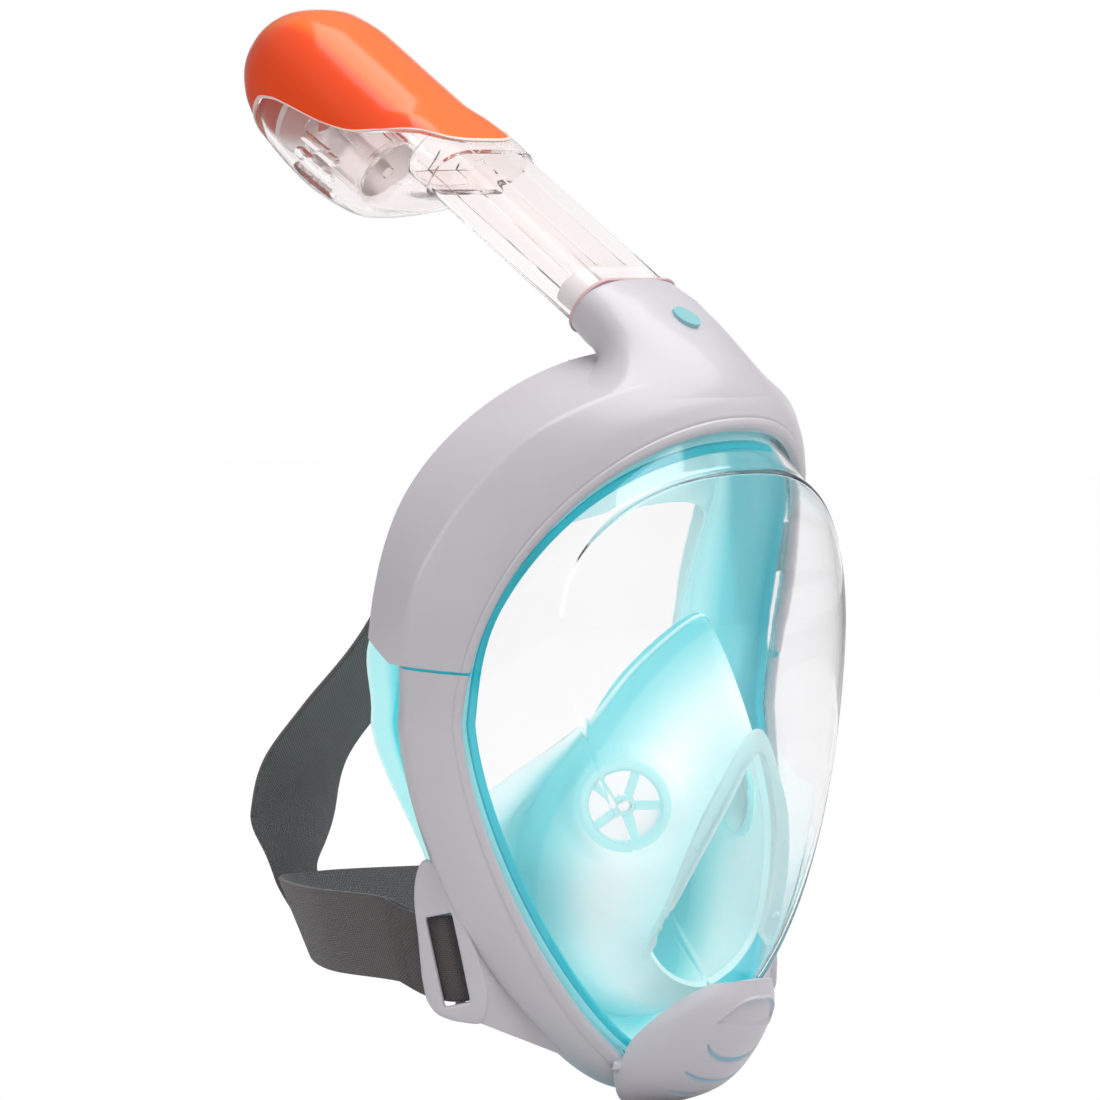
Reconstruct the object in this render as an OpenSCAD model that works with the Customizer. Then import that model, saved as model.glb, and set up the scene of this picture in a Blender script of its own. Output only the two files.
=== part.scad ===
// Full face snorkel mask with a pull-out dry-top snorkel.
// The mask looks along -Y, +Z is up and the wearer's face is behind it.
// The origin is the middle of the face opening, level with the widest place of the rim.
// Loops round the face are given by an angle: 0 is +X, 90 the brow and -90 the chin.

/* [Face opening] */
// Width of the rim that holds the visor
rim_w = 155; // [140:1:168]
// Height of the rim above its widest place
rim_up = 84; // [76:1:92]
// Height of the rim below its widest place
rim_down = 107; // [98:1:116]
// Distance from the face plane forward to the top of the rim
rim_depth = 80; // [72:1:88]
// How far the chin end of the rim lies behind its brow end
rim_lean = 24; // [18:1:30]
// How far the sides of the rim curve back at the temples
brow_wrap = 33; // [28:1:38]
// How far the sides of the rim curve back at the chin
chin_wrap = 10; // [6:1:14]

/* [Frame] */
// Wall of the frame
frame_wall = 2.4; // [2:0.1:3]
// Outward run of the front bevel over the brow
brow_out = 17; // [14:0.5:20]
// Backward run of the front bevel over the brow
brow_back = 9; // [7:0.5:12]
// Outward run of the front bevel above the temples
temple_out = 22; // [20:0.5:23]
// Outward run of the front bevel at the sides
side_out = 11; // [10:0.5:12.5]
// Backward run of the front bevel at the sides
side_back = 13; // [12:0.5:14]
// Outward run of the front bevel at the chin
chin_out = 3; // [2.5:0.5:5]
// Backward run of the front bevel at the chin
chin_back = 12; // [11:0.5:13]
// Depth of the hood behind the bevel at the brow
brow_hood = 32; // [28:1:36]
// Depth of the hood behind the bevel at the temples
temple_hood = 11; // [9:1:14]
// Outward run of the hood's rear edge at the temples
temple_rear = 16.5; // [15:0.5:18]
// Outward run of the hood's rear edge over the brow
brow_rear = 22.5; // [21:0.5:24]
// Depth of the return wall behind the lower bevel
lower_hood = 5; // [4:0.5:7]
// How far that return wall draws in
lower_tuck = 4; // [3:0.5:5]
// Swell of the bevel's face
bevel_swell = 2; // [1:0.1:2.6]
// Height of the seam between the two frame halves
seam_z = 17.5; // [14:0.5:20]
// Gap in that seam
seam_gap = 0.4; // [0.2:0.1:0.8]
// Tilt of that seam across the bevel, in degrees
seam_tilt = 9; // [0:1:12]
// Rise of the upper frame's end towards the rear, in degrees
seam_rise = 45; // [35:1:48]

/* [Visor] */
// Wall of the visor
visor_wall = 2.2; // [1.8:0.1:2.8]
// Half width of the visor's front edge at its widest place
bubble_half_w = 70; // [64:0.5:72]
// Height of the widest place of the front edge
bubble_z = 26; // [20:1:32]
// Rise of the front edge above that place
bubble_up = 46; // [42:0.5:49]
// Drop of the front edge below that place
bubble_down = 110; // [104:1:114]
// How far the visor's front stands before the rim's top
bubble_fore = 11; // [8:0.5:14]
// How far the sides of the front sweep back at its widest place
bubble_sweep = 24.5; // [20:0.5:28]
// Radius of the front edge
bubble_edge = 2.6; // [2:0.2:3.4]
// Width of the flange that the frame clamps
flange = 4; // [3:0.5:5]
// Clearance between clamped pieces
seat_gap = 0.25; // [0.2:0.05:0.35]

/* [Face skirt] */
// Thickness of the silicone
skirt_wall = 2.4; // [2:0.1:3]
// Depth of the skirt behind the rim at the brow
skirt_depth = 35; // [33:0.5:38]
// How much deeper the skirt is above the temples
temple_deeper = 7; // [4:0.5:8]
// How much shallower the skirt is along the jaw
jaw_shallower = 7; // [4:0.5:7]
// Width of the lip that turns in at the temples
lip_in = 11; // [8:0.5:14]
// Width of the lip that turns in on the forehead
brow_lip_in = 22; // [18:0.5:25]
// How far the lip comes forward from the rear edge
lip_fore = 9; // [6:0.5:12]

/* [Nose and mouth cup] */
// Thickness of the cup's silicone
cup_wall = 2; // [1.6:0.1:2.4]
// Height of the cup's tip on the bridge of the nose
cup_top = 29; // [26:0.5:32]
// Half width of the cup at the cheeks
cup_half_w = 38; // [35:0.5:41]
// Half width of the cup's mouth against the visor
cup_mouth_half_w = 27; // [25:0.5:29]
// Thickness of the clamp round the cup's mouth
rail_d = 3; // [2.6:0.1:3.4]

/* [Breathing valves] */
// Clear diameter of an inhale valve
inhale_d = 20; // [18:0.5:22]
// Clear diameter of the exhale valve in the chin
exhale_d = 15; // [13:0.5:16]
// Width of the ring round a valve
seat_ring = 2.2; // [1.8:0.1:2.6]
// Height of a valve seat
seat_h = 3; // [2.6:0.1:3.6]
// Width of a valve's spokes
spoke_w = 1.8; // [1.4:0.1:2.4]
// Diameter of a valve's hub
hub_d = 6; // [5:0.5:7]
// Diameter of a flap's stem
stem_d = 2.4; // [2:0.1:3]
// Thickness of a flap
flap_t = 0.8; // [0.6:0.1:1]
// Lift of a flap
flap_lift = 1.2; // [0.8:0.1:1.4]
// Running clearance between a stem and its hub
stem_gap = 0.05; // [0.03:0.01:0.08]

/* [Chin cover] */
// Wall of the cover
cover_wall = 2.4; // [2:0.1:2.8]
// Half width of the cover at its top
cover_top_half_w = 12; // [10:0.5:14]
// Half width of the cover at its rear end
cover_rear_half_w = 28; // [26:0.5:29]

/* [Snorkel] */
// Lean of the snorkel back from upright, in degrees
snorkel_lean = 54; // [50:1:58]
// Distance of the collar's middle behind the rim's top
collar_back = 43.5; // [41:0.1:47]
// Height of the collar's middle above the rim's top
collar_rise = 34.9; // [33:0.1:38]
// Width of the tube
tube_w = 43; // [40:0.5:46]
// Thickness of the tube
tube_t = 16; // [15:0.5:18]
// Wall of the tube
tube_wall = 1.6; // [1.4:0.1:2]
// Length of the tube from the collar to the head
tube_free = 68; // [60:1:80]
// Depth that the tube is plugged into the socket
socket_depth = 24; // [20:1:28]
// Wall of the socket at its collar
collar_wall = 2; // [1.8:0.1:2.6]
// Clearance between the tube and the socket
tube_gap = 0.35; // [0.3:0.05:0.5]
// Length of the grey sleeve above the collar
sleeve_free = 10; // [8:0.5:14]
// Wall of the sleeve inside the tube
sleeve_wall = 1.2; // [1:0.1:1.6]

/* [Snorkel head] */
// Length of the head
head_len = 85; // [80:1:92]
// Half width of the head
head_half_w = 27; // [25:0.5:29]
// How far the head stands out behind the tube's axis
head_rear = 36; // [33:0.5:38]
// How far the head stands before the tube's axis
head_front = 9.6; // [9.4:0.1:10.4]
// Wall of the head
head_wall = 2; // [1.8:0.1:2.4]
// Diameter of the float
float_d = 20; // [18:0.5:20.5]
// Height of the float
float_h = 18; // [16:0.5:20]
// Travel of the float
float_travel = 6; // [4:0.5:7]
// Diameter of the guide pin inside the float
guide_d = 4; // [3.6:0.1:4.6]

/* [Head strap] */
// Width of the lower bands
strap_w = 25; // [22:0.5:26]
// Width of the upper band
crown_w = 40; // [36:0.5:42]
// Thickness of the webbing
strap_t = 1.6; // [1.3:0.1:1.9]
// How far the bands' meeting place lies behind the face plane
strap_reach = 77; // [70:1:90]
// Depth of the upper band's bulge behind that place
crown_bulge = 8; // [5:0.5:11]
// Height of the lower bands' middle
strap_z = -64; // [-67:0.5:-61]
// Diameter of the pins in the ears
strap_pin_d = 3; // [2.6:0.1:3.4]
// Clearance between the webbing and what it is looped round
strap_fit = 0.3; // [0.2:0.05:0.4]

/* [Hidden] */
$fn = 48;

frame_white = [0.86, 0.85, 0.88];
silicone = [0.35, 0.8, 0.85];
clear = [0.85, 0.92, 0.95, 0.35];
strap_grey = [0.33, 0.32, 0.35];
far = 400;

// General helpers

function lerp(a, b, u) = a + (b - a)*u;
function smooth(u) = let (c = min(1, max(0, u))) c*c*(3 - 2*c);
function signed_pow(v, e) = sign(v)*pow(abs(v), e);
function flat(lists) = [for (list = lists) each list];
function mirrored(p) = [-p.x, p.y, p.z];

// A half loop from the mid plane to the mid plane, closed with its mirror image.
function whole_loop(half) = let (n = len(half))
    concat(half, [for (i = [n - 2:-1:1]) mirrored(half[i])]);

// A smooth closed loop of count points through the given points.
function loop_point(pts, u) = let (n = len(pts), i = floor(u), f = u - i,
        a = pts[(i + n - 1) % n], b = pts[i % n], c = pts[(i + 1) % n], d = pts[(i + 2) % n])
    (2*b + (c - a)*f + (2*a - 5*b + 4*c - d)*f*f + (3*b - a - 3*c + d)*f*f*f)/2;
function smooth_loop(pts, count) = [for (k = [0:count - 1]) loop_point(pts, k*len(pts)/count)];

// A smooth open path through the given points, with steps pieces to a stretch.
function path_point(pts, u) = let (n = len(pts), i = min(floor(u), n - 2), f = u - i,
        b = pts[i], c = pts[i + 1],
        a = i > 0 ? pts[i - 1] : 2*b - c, d = i < n - 2 ? pts[i + 2] : 2*c - b)
    (2*b + (c - a)*f + (2*a - 5*b + 4*c - d)*f*f + (3*b - a - 3*c + d)*f*f*f)/2;
function smooth_path(pts, steps) = [for (k = [0:(len(pts) - 1)*steps]) path_point(pts, k/steps)];

// Faces between sections of m points each; the sections close into a ring or end in caps.
function side_faces(n, m, ring) = [for (i = [0:n - (ring ? 1 : 2)], j = [0:m - 1])
    let (i2 = (i + 1) % n, j2 = (j + 1) % m, a = i*m + j, b = i*m + j2, c = i2*m + j2, d = i2*m + j)
    each [[a, c, b], [a, d, c]]];
function cap_faces(n, m) = [[for (j = [0:m - 1]) j], [for (j = [m - 1:-1:0]) (n - 1)*m + j]];

module ring_loft(sections) {
    polyhedron(flat(sections), side_faces(len(sections), len(sections[0]), true), 4);
}

module capped_loft(sections) {
    n = len(sections);
    m = len(sections[0]);
    polyhedron(flat(sections), concat(side_faces(n, m, false), cap_faces(n, m)), 4);
}

// End faces for sections that run out along one face and back along the other.
function strip_faces(first, m, turn) = [for (k = [0:m/2 - 2])
    let (a = first + k, b = a + 1, c = first + m - 2 - k, d = c + 1)
    each (turn ? [[a, c, b], [a, d, c]] : [[a, b, c], [a, c, d]])];

module folded_loft(sections) {
    n = len(sections);
    m = len(sections[0]);
    polyhedron(flat(sections), concat(side_faces(n, m, false), strip_faces(0, m, false),
        strip_faces((n - 1)*m, m, true)), 4);
}

module stadium(w, t) {
    square([w - t, t], center = true);
    for (side = [-1, 1])
        translate([side*(w - t)/2, 0])
            circle(d = t);
}

// The rim: an egg that leans and wraps back round the face

rim_up_power = 2.2;
rim_down_power = 1.85;
rim_steps = 56;

function egg(t, half_w, up, down, up_power, down_power) = sin(t) >= 0
    ? [half_w*signed_pow(cos(t), 2/up_power), up*signed_pow(sin(t), 2/up_power)]
    : [half_w*signed_pow(cos(t), 2/down_power), down*signed_pow(sin(t), 2/down_power)];
function rim_xz(t) = egg(t, rim_w/2, rim_up, rim_down, rim_up_power, rim_down_power);
function rim_wrap(z) = z >= 0 ? brow_wrap : lerp(brow_wrap, chin_wrap, min(1, -z/rim_down));
function rim_y(x, z) = -rim_depth + rim_lean*(rim_up - z)/(rim_up + rim_down)
    + rim_wrap(z)*pow(2*x/rim_w, 2);
function rim_out(t) = let (d = rim_xz(t + 0.5) - rim_xz(t - 0.5)) [d.y, -d.x]/norm(d);

// A point at the rim's angle t, moved outwards and back.
function rim_point(t, out, back) = let (p = rim_xz(t), q = p + out*rim_out(t))
    [q.x, rim_y(p.x, p.y) + back, q.y];

// The front bevel of the frame: its outward and backward run at the angle t.
temple_full = 0.4;
brow_start = 0.75;
brow_turn = 0.55;
chin_start = 0.5;
function share(s, start, full) = smooth((s - start)/(full - start));
function chin_share(t) = share(-sin(t), chin_start, 1);
function upper_out(s) = lerp(lerp(side_out, temple_out, share(s, 0, temple_full)), brow_out,
    share(s, brow_start, 1));
function bevel(t) = sin(t) >= 0
    ? [upper_out(sin(t)), lerp(side_back, brow_back, share(sin(t), brow_turn, 1))]
    : [lerp(side_out, chin_out, chin_share(t)), lerp(side_back, chin_back, chin_share(t))];

// A place given along the bevel from the rim and by its depth below the bevel's face.
function below_bevel(t, along, depth) = let (b = bevel(t), e = b/norm(b))
    along*e + depth*[-e.y, e.x];
function rim_below(t, along, depth) = let (q = below_bevel(t, along, depth)) rim_point(t, q.x, q.y);

// Frame: an upper hood with the snorkel's socket and a lower half with the strap's ears

crease_round = 1.6;

// The frame's section: the swollen bevel, the crease, the wall behind it and the inner face.
function frame_section(t, hood, flare) = let (b = bevel(t), e = b/norm(b), w = frame_wall,
        fore = [e.y, -e.x])
    [for (q = [[0, 0], b*0.12 + bevel_swell*0.6*fore, b*0.5 + bevel_swell*fore, b - e*crease_round,
        b + [flare/hood, 1]*crease_round, b + [flare, hood], b + [flare - w, hood],
        below_bevel(t, norm(b) - w*(1 - e.y)/e.x, w), below_bevel(t, flange + 1, w), below_bevel(t, 0, w)])
        rim_point(t, q.x, q.y)];

function hood_depth(t) = lerp(temple_hood, brow_hood, smooth(max(0, sin(t))));
function hood_spread(t) = lerp(temple_rear, brow_rear, smooth(max(0, sin(t)))) - bevel(t).x;

seam_spare = 2*360/rim_steps;
half_steps = rim_steps/2 + 4;
seam_back = 15;
temple_y = rim_y(rim_w/2, 0) + seam_back;
chin_tuck = 0.6;

collar_pos = [0, -rim_depth + collar_back, rim_up + collar_rise];

// Puts a piece on the snorkel's axis: z runs up the tube and y to its rear side.
module on_snorkel() {
    translate(collar_pos)
        rotate([-snorkel_lean, 0, 0])
            children();
}

oval_steps = 32;
oval_power = 2.6;

// A rounded section across the snorkel: half width, front and rear faces, height.
function oval(half_w, front, rear, z, power) = [for (k = [0:oval_steps - 1]) let (a = 360*k/oval_steps)
    [half_w*signed_pow(cos(a), 2/power),
     (rear - front)/2 + (rear + front)/2*signed_pow(sin(a), 2/power), z]];

bore_w = tube_w + 2*tube_gap;
bore_t = tube_t + 2*tube_gap;
collar_half_w = bore_w/2 + collar_wall;
collar_half_t = bore_t/2 + collar_wall;
duct_drop = 30;
duct_t = 9;

// The socket's rings, from the hood up to the collar: how far each spreads beyond the
// collar at its sides, at its front and at its rear, and its place along the tube.
socket_rings = [[20, -5.5, 2, -38], [13, -1.2, 2, -28], [7, 0.2, 0.6, -18], [1.5, 0.2, 0.2, -8],
    [0, 0, 0, -1.5], [-1, -1, -1, 0]];

module socket_body() {
    on_snorkel()
        capped_loft([for (r = socket_rings)
            oval(collar_half_w + r[0], collar_half_t + r[1], collar_half_t + r[2], r[3], oval_power)]);
}

module socket_bore() {
    on_snorkel() {
        translate([0, 0, -socket_depth])
            linear_extrude(socket_depth + 1)
                stadium(bore_w, bore_t);
        translate([0, 0, duct_t/2 - socket_depth])
            rotate([180 + snorkel_lean, 0, 0])
                linear_extrude(duct_drop)
                    stadium(tube_w - 2*tube_wall, duct_t);
    }
}

// A block across the whole mask with the given outline seen from its side.
module side_block(outline) {
    rotate([90, 0, 90])
        translate([0, 0, -far/2])
            linear_extrude(far)
                polygon(outline);
}

// A place on the seam, or at the given angle behind it, as far back from the crease as asked.
function seam_place(back, angle, drop) = [temple_y + back, seam_z - drop + back*tan(angle)];

// Everything below the upper frame, with the rise of its end towards the rear.
module below_hood() {
    side_block([[temple_y - far, -far], seam_place(-far, seam_tilt, 0), seam_place(0, 0, 0),
        seam_place(far, seam_rise, 0), [temple_y + far, -far]]);
}

// Everything above the lower frame.
module above_band() {
    side_block([seam_place(-far, seam_tilt, seam_gap), seam_place(far, seam_tilt, seam_gap),
        [temple_y + far, far], [temple_y - far, far]]);
}

inlay_d = 9;
inlay_t = 1.6;
inlay_down = 20;
inlay_sink = 0.6;

module inlay_disc(grow) {
    on_snorkel()
        translate([0, -collar_half_t - inlay_t/2 + inlay_sink, -inlay_down])
            rotate([90, 0, 0])
                cylinder(d = inlay_d + 2*grow, h = inlay_t + 2*grow, center = true);
}

module upper_frame() {
    color(frame_white)
        difference() {
            union() {
                capped_loft([for (i = [0:half_steps])
                    let (t = lerp(-seam_spare, 180 + seam_spare, i/half_steps))
                        frame_section(t, hood_depth(t), hood_spread(t))]);
                socket_body();
            }
            socket_bore();
            below_hood();
            inlay_disc(stem_gap);
        }
}

// A plain round inlay in the socket's front face.
module brow_inlay() {
    color(silicone)
        inlay_disc(0);
}

// Strap ears of the lower frame: a plate behind the bevel's crease with an upright slot

ear_t = 3.2;
ear_slot_w = 7.6;
ear_angle = -36;
ear_turn = 30;
ear_tilt = 12;
lug_h = 2.2;
lug_w = strap_pin_d + 2;
slot_h = strap_w + 1.6;
pin_u = 4.5;
slot_mid = -3.3;
pin_depth = ear_t/2 + strap_pin_d/2 + strap_t + 3*strap_fit;
slot_round = 0.8;
ear_out = 13.5;
ear_back = 15;
ear_pos = let (p = rim_point(ear_angle, ear_out, ear_back)) [-p.x, p.y, strap_z];

// The ear's outline, along the plate from the crease and up from the strap's height.
ear_outline = [[14.4, 15], [13.3, 4], [11.9, -7.5], [10.2, -13.5], [7, -16.8], [3, -18.3],
    [-6, -20.4], [-7, -12], [-4, -2], [2, 12], [6, 21], [11, 28], [13.6, 23]];

// The web that ties the ear's front edge to the crease: places on the plate, and angles.
web_plate = [[9, 24], [4, 14], [0, 4], [-4, -4], [-5, -12], [-4.5, -19.5]];
web_crease = [-20, -27, -34, -42, -54, -66];
web_sink = 1.2;
web_half_t = ear_t/2 - 0.3;

// Puts a piece on the left ear: x runs out and back along the plate, y up and z inwards.
module on_ear() {
    translate(ear_pos)
        rotate([90, 0, 90 + ear_turn])
            children();
}

// Turns a piece into the slot's slant.
module in_slot() {
    on_ear()
        translate([pin_u, slot_mid, 0])
            rotate([0, 0, -ear_tilt])
                children();
}

// World place of a point of the left ear: along the plate, up and inwards.
function ear_point(u, v, n) = ear_pos
    + [n*cos(ear_turn) - u*sin(ear_turn), u*cos(ear_turn) + n*sin(ear_turn), v];

module ear_web() {
    inwards = 2*web_half_t*[cos(ear_turn), sin(ear_turn), 0];
    capped_loft([for (i = [0:len(web_plate) - 1]) let (q = web_plate[i], t = web_crease[i],
            edge = mirrored(rim_point(t, bevel(t).x - web_sink, bevel(t).y)))
        [ear_point(q.x, q.y, web_half_t), edge + inwards, edge, ear_point(q.x, q.y, -web_half_t)]]);
}

module slot_outline() {
    hull()
        for (x = [-1, 1], y = [-1, 1])
            translate([x*(ear_slot_w/2 - slot_round), y*(slot_h/2 - slot_round)])
                circle(r = slot_round);
}

module ear_lug(up) {
    in_slot()
        translate([0, up*(slot_h + lug_h)/2, 0])
            difference() {
                translate([-lug_w/2, -lug_h/2, 0])
                    cube([lug_w, lug_h, pin_depth + lug_w/2]);
                translate([0, 0, pin_depth])
                    rotate([90, 0, 0])
                        cylinder(d = strap_pin_d + 2*stem_gap, h = 2*lug_h, center = true);
            }
}

module ear() {
    difference() {
        on_ear()
            linear_extrude(ear_t, center = true)
                polygon(ear_outline);
        in_slot()
            linear_extrude(2*ear_t, center = true)
                slot_outline();
    }
    ear_web();
    for (up = [-1, 1])
        ear_lug(up);
}

module lower_frame() {
    color(frame_white)
        difference() {
            union() {
                capped_loft([for (i = [0:half_steps])
                    let (t = lerp(-180 - seam_spare, seam_spare, i/half_steps))
                        frame_section(t, lower_hood, -lerp(lower_tuck, chin_tuck, chin_share(t)))]);
                ear();
                mirror([1, 0, 0])
                    ear();
            }
            above_band();
        }
}

// Visor: a flange under the frame's lip, a wall and a swept front

bubble_up_power = 2.3;
bubble_down_power = 1.4;
bubble_turn = 16;
bubble_top_drop = 9;
bubble_chin_drop = 14;
front_scales = [0.955, 0.75, 0.5, 0.25];

function bubble_angle(t) = t - bubble_turn*sign(cos(t))*pow(cos(t), 2);
function bubble_xz(t, inset) = egg(bubble_angle(t), bubble_half_w - inset, bubble_up - inset,
    bubble_down - inset, bubble_up_power, bubble_down_power) + [0, bubble_z];
function bubble_drop(z) = z >= bubble_z
    ? bubble_top_drop*pow((z - bubble_z)/bubble_up, 2)
    : bubble_chin_drop*pow((bubble_z - z)/bubble_down, 1.5);
function bubble_y(x, z) = -rim_depth - bubble_fore + bubble_drop(z) + bubble_sweep*pow(x/bubble_half_w, 2);

// One ring of the front, shrunk towards the middle of the bubble.
function front_ring_point(t, scale, inset) = let (p = bubble_xz(t, inset),
        x = p.x*scale, z = bubble_z + (p.y - bubble_z)*scale)
    [x, bubble_y(x, z) + inset, z];
function edge_point(t, inset) = front_ring_point(t, 1, inset) + [0, bubble_edge, 0];

visor_seat = frame_wall + seat_gap;
wall_start = 0.5;
wall_shares = [0.5, 0.88];

// One station of the visor: the outer face from the flange to the front, and back inside.
function visor_station(t) = let (
        outer_rim = rim_below(t, -wall_start, visor_seat),
        inner_rim = rim_below(t, -wall_start - visor_wall, visor_seat + visor_wall),
        outer_edge = edge_point(t, 0), inner_edge = edge_point(t, visor_wall))
    concat([rim_below(t, flange, visor_seat), outer_rim],
        [for (u = wall_shares) lerp(outer_rim, outer_edge, u)], [outer_edge],
        [for (k = front_scales) front_ring_point(t, k, 0)],
        [for (i = [len(front_scales) - 1:-1:0]) front_ring_point(t, front_scales[i], visor_wall)],
        [inner_edge], [for (i = [len(wall_shares) - 1:-1:0]) lerp(inner_rim, inner_edge, wall_shares[i])],
        [inner_rim, rim_below(t, flange, visor_seat + visor_wall)]);

// The stations run round the face, and the two middles close the front.
module visor_shell() {
    n = rim_steps;
    stations = [for (i = [0:n - 1]) visor_station(360*i/n)];
    m = len(stations[0]);
    outer_last = 2 + len(wall_shares) + len(front_scales);
    outer_mid = n*m;
    inner_mid = n*m + 1;
    mids = [[0, bubble_y(0, bubble_z), bubble_z], [0, bubble_y(0, bubble_z) + visor_wall, bubble_z]];
    faces = [for (i = [0:n - 1]) let (a = i*m, b = ((i + 1) % n)*m)
        each concat([for (j = [0:m - 1]) if (j != outer_last) let (k = (j + 1) % m)
            each [[a + j, b + k, b + j], [a + j, a + k, b + k]]],
            [[b + outer_last, a + outer_last, outer_mid],
            [a + outer_last + 1, b + outer_last + 1, inner_mid]])];
    polyhedron(concat(flat(stations), mids), faces, 4);
}

// Exhale valve: its place on the visor's chin wall

chin_low = rim_below(-90, -wall_start, visor_seat);
chin_high = edge_point(-90, 0);
chin_share_up = 0.53;
chin_slope = atan2(chin_high.z - chin_low.z, chin_high.y - chin_low.y);
chin_pos = lerp(chin_low, chin_high, chin_share_up);
chin_seat_d = exhale_d + 2*seat_ring;
chin_seat_h = seat_h + visor_wall;

// Puts a piece on the exhale valve: z points out of the mask, forwards and down.
module on_chin_valve() {
    translate(chin_pos)
        rotate([chin_slope, 0, 0])
            children();
}

module visor() {
    color(clear)
        difference() {
            visor_shell();
            on_chin_valve()
                cylinder(d = chin_seat_d + 2*stem_gap, h = 4*chin_seat_h, center = true);
        }
}

// A valve seat: a ring with five spokes and a bored hub, standing on z = 0.
module spoked_seat(d, h) {
    difference() {
        union() {
            difference() {
                cylinder(d = d + 2*seat_ring, h = h);
                translate([0, 0, -1])
                    cylinder(d = d, h = h + 2);
            }
            for (k = [0:4])
                rotate(180 + 72*k)
                    translate([hub_d/4, -spoke_w/2, 0])
                        cube([d/2 - hub_d/4 + seat_ring/2, spoke_w, seat_h/2]);
            cylinder(d = hub_d, h = seat_h/2);
        }
        translate([0, 0, -1])
            cylinder(d = stem_d + 2*stem_gap, h = h + 2);
    }
}

flap_gap = 0.3;
button_t = 1;
button_d = stem_d + 1.6;

// A flap below a seat that stands on z = 0: disc, stem and button; it lifts along -z.
module stemmed_flap(d) {
    translate([0, 0, -flap_gap - flap_t])
        cylinder(d = d + seat_ring, h = flap_t);
    translate([0, 0, -flap_gap - flap_t/2])
        cylinder(d = stem_d, h = flap_t/2 + flap_gap + seat_h/2 + flap_lift + flap_gap + button_t/2);
    translate([0, 0, seat_h/2 + flap_lift + flap_gap])
        cylinder(d = button_d, h = button_t);
}

module chin_valve_seat() {
    color(frame_white)
        on_chin_valve()
            translate([0, 0, visor_wall/2])
                mirror([0, 0, 1])
                    spoked_seat(exhale_d, chin_seat_h);
}

module chin_valve_flap() {
    color(silicone)
        on_chin_valve()
            translate([0, 0, visor_wall/2])
                mirror([0, 0, 1])
                    stemmed_flap(exhale_d);
}

// Face skirt: clamped behind the visor's flange, with a lip that turns in on the face

skirt_seat = visor_seat + visor_wall + seat_gap;
skirt_fore = -2;
skirt_belly = [1.2, 19];
skirt_rear_out = 0.6;
chin_draw = 4;
fold_share = 1.5;
skirt_shoulder = 6;
lip_edge = 1.2;

function lip_width(t) = lerp(lip_in, brow_lip_in, smooth((sin(t) - 0.5)/0.5));
// The skirt's depth: deepest above the temples and least along the jaw.
temple_rise = 0.25;
temple_fall = 0.4;
jaw_full = 0.4;
lip_least = 24;
function skirt_reach(t) = sin(t) >= 0
    ? skirt_depth + temple_deeper*smooth(sin(t)/temple_rise)*smooth((1 - sin(t))/(1 - temple_fall))
    : skirt_depth - jaw_shallower*smooth(-sin(t)/jaw_full);
function skirt_draw(t) = chin_draw*chin_share(t);
function skirt_section(t) = let (w = skirt_wall, d = skirt_reach(t), b = bevel(t), draw = [skirt_draw(t), 0],
        fold = w*min(1, fold_share*b.x/norm(b)),
        tip = [-lip_width(t), max(lip_least, d - lip_fore)])
    [for (q = [below_bevel(t, skirt_fore, skirt_seat), below_bevel(t, flange, skirt_seat),
        below_bevel(t, flange, skirt_seat + fold), skirt_belly - draw,
        [skirt_rear_out, d - skirt_shoulder] - draw, [-skirt_rear_out, d] - draw, tip - draw,
        tip - [0, lip_edge] - draw, [skirt_rear_out - w, d - skirt_shoulder - lip_edge] - draw,
        skirt_belly - [w, 0] - draw, below_bevel(t, skirt_fore, skirt_seat + w)])
        rim_point(t, q.x, q.y)];

module face_skirt() {
    color(silicone)
        ring_loft([for (i = [0:rim_steps - 1]) skirt_section(360*i/rim_steps)]);
}

// Nose and mouth cup: from its mouth on the visor back to the face, and out to the skirt

cup_steps = 44;
cup_mid_z = -38;
cup_swell = 3;
web_back = 17;
web_in = -3.6;
function cup_point(x, back, z) = [x, -rim_depth + back, z];
function web_edge(t) = rim_point(t, web_in - skirt_draw(t), web_back);

// Half loops from the nose to the chin: the mouth, the face edge and the web's outer edge.
mouth_half = let (w = cup_mouth_half_w) [cup_point(0, -2, -8), cup_point(w*0.44, 1, -24),
    cup_point(w*0.7, 5, -38), cup_point(w*0.89, 10, -52), cup_point(w, 15, -63),
    cup_point(w*0.76, 16, -71), cup_point(w*0.4, 16, -76), cup_point(0, 16, -78)];
face_half = let (w = cup_half_w) [cup_point(0, 15, cup_top), cup_point(w*0.46, 25, cup_top - 14),
    cup_point(w*0.79, 32, -2), cup_point(w*0.97, 44, -20), cup_point(w*1.05, 50, -40),
    cup_point(w, 51, -62), cup_point(w*0.63, 46, -80), cup_point(0, 43, -88)];
web_half = let (w = cup_half_w) [cup_point(0, 16, cup_top + 1), cup_point(w*0.47, 26, cup_top - 13),
    cup_point(w*0.86, 35, -2), cup_point(w*1.16, 53, -17), web_edge(-20), web_edge(-42), web_edge(-64),
    web_edge(-90)];

// A point drawn in towards the cup's axis and pushed back, for the inner face.
function cup_inner(p) = let (v = [p.x, p.z - cup_mid_z], r = norm(v), k = (r - cup_wall*0.8)/r)
    [v.x*k, p.y + cup_wall*0.8, cup_mid_z + v.y*k];
function cup_outwards(p, d) = let (v = [p.x, p.z - cup_mid_z], r = norm(v), k = (r + d)/r)
    [v.x*k, p.y, cup_mid_z + v.y*k];
function cup_middle(a, b) = cup_outwards((a + b)/2, cup_swell);

mouth_loop = smooth_loop(whole_loop(mouth_half), cup_steps);
face_loop = smooth_loop(whole_loop(face_half), cup_steps);
web_loop = smooth_loop(whole_loop(web_half), cup_steps);

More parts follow.
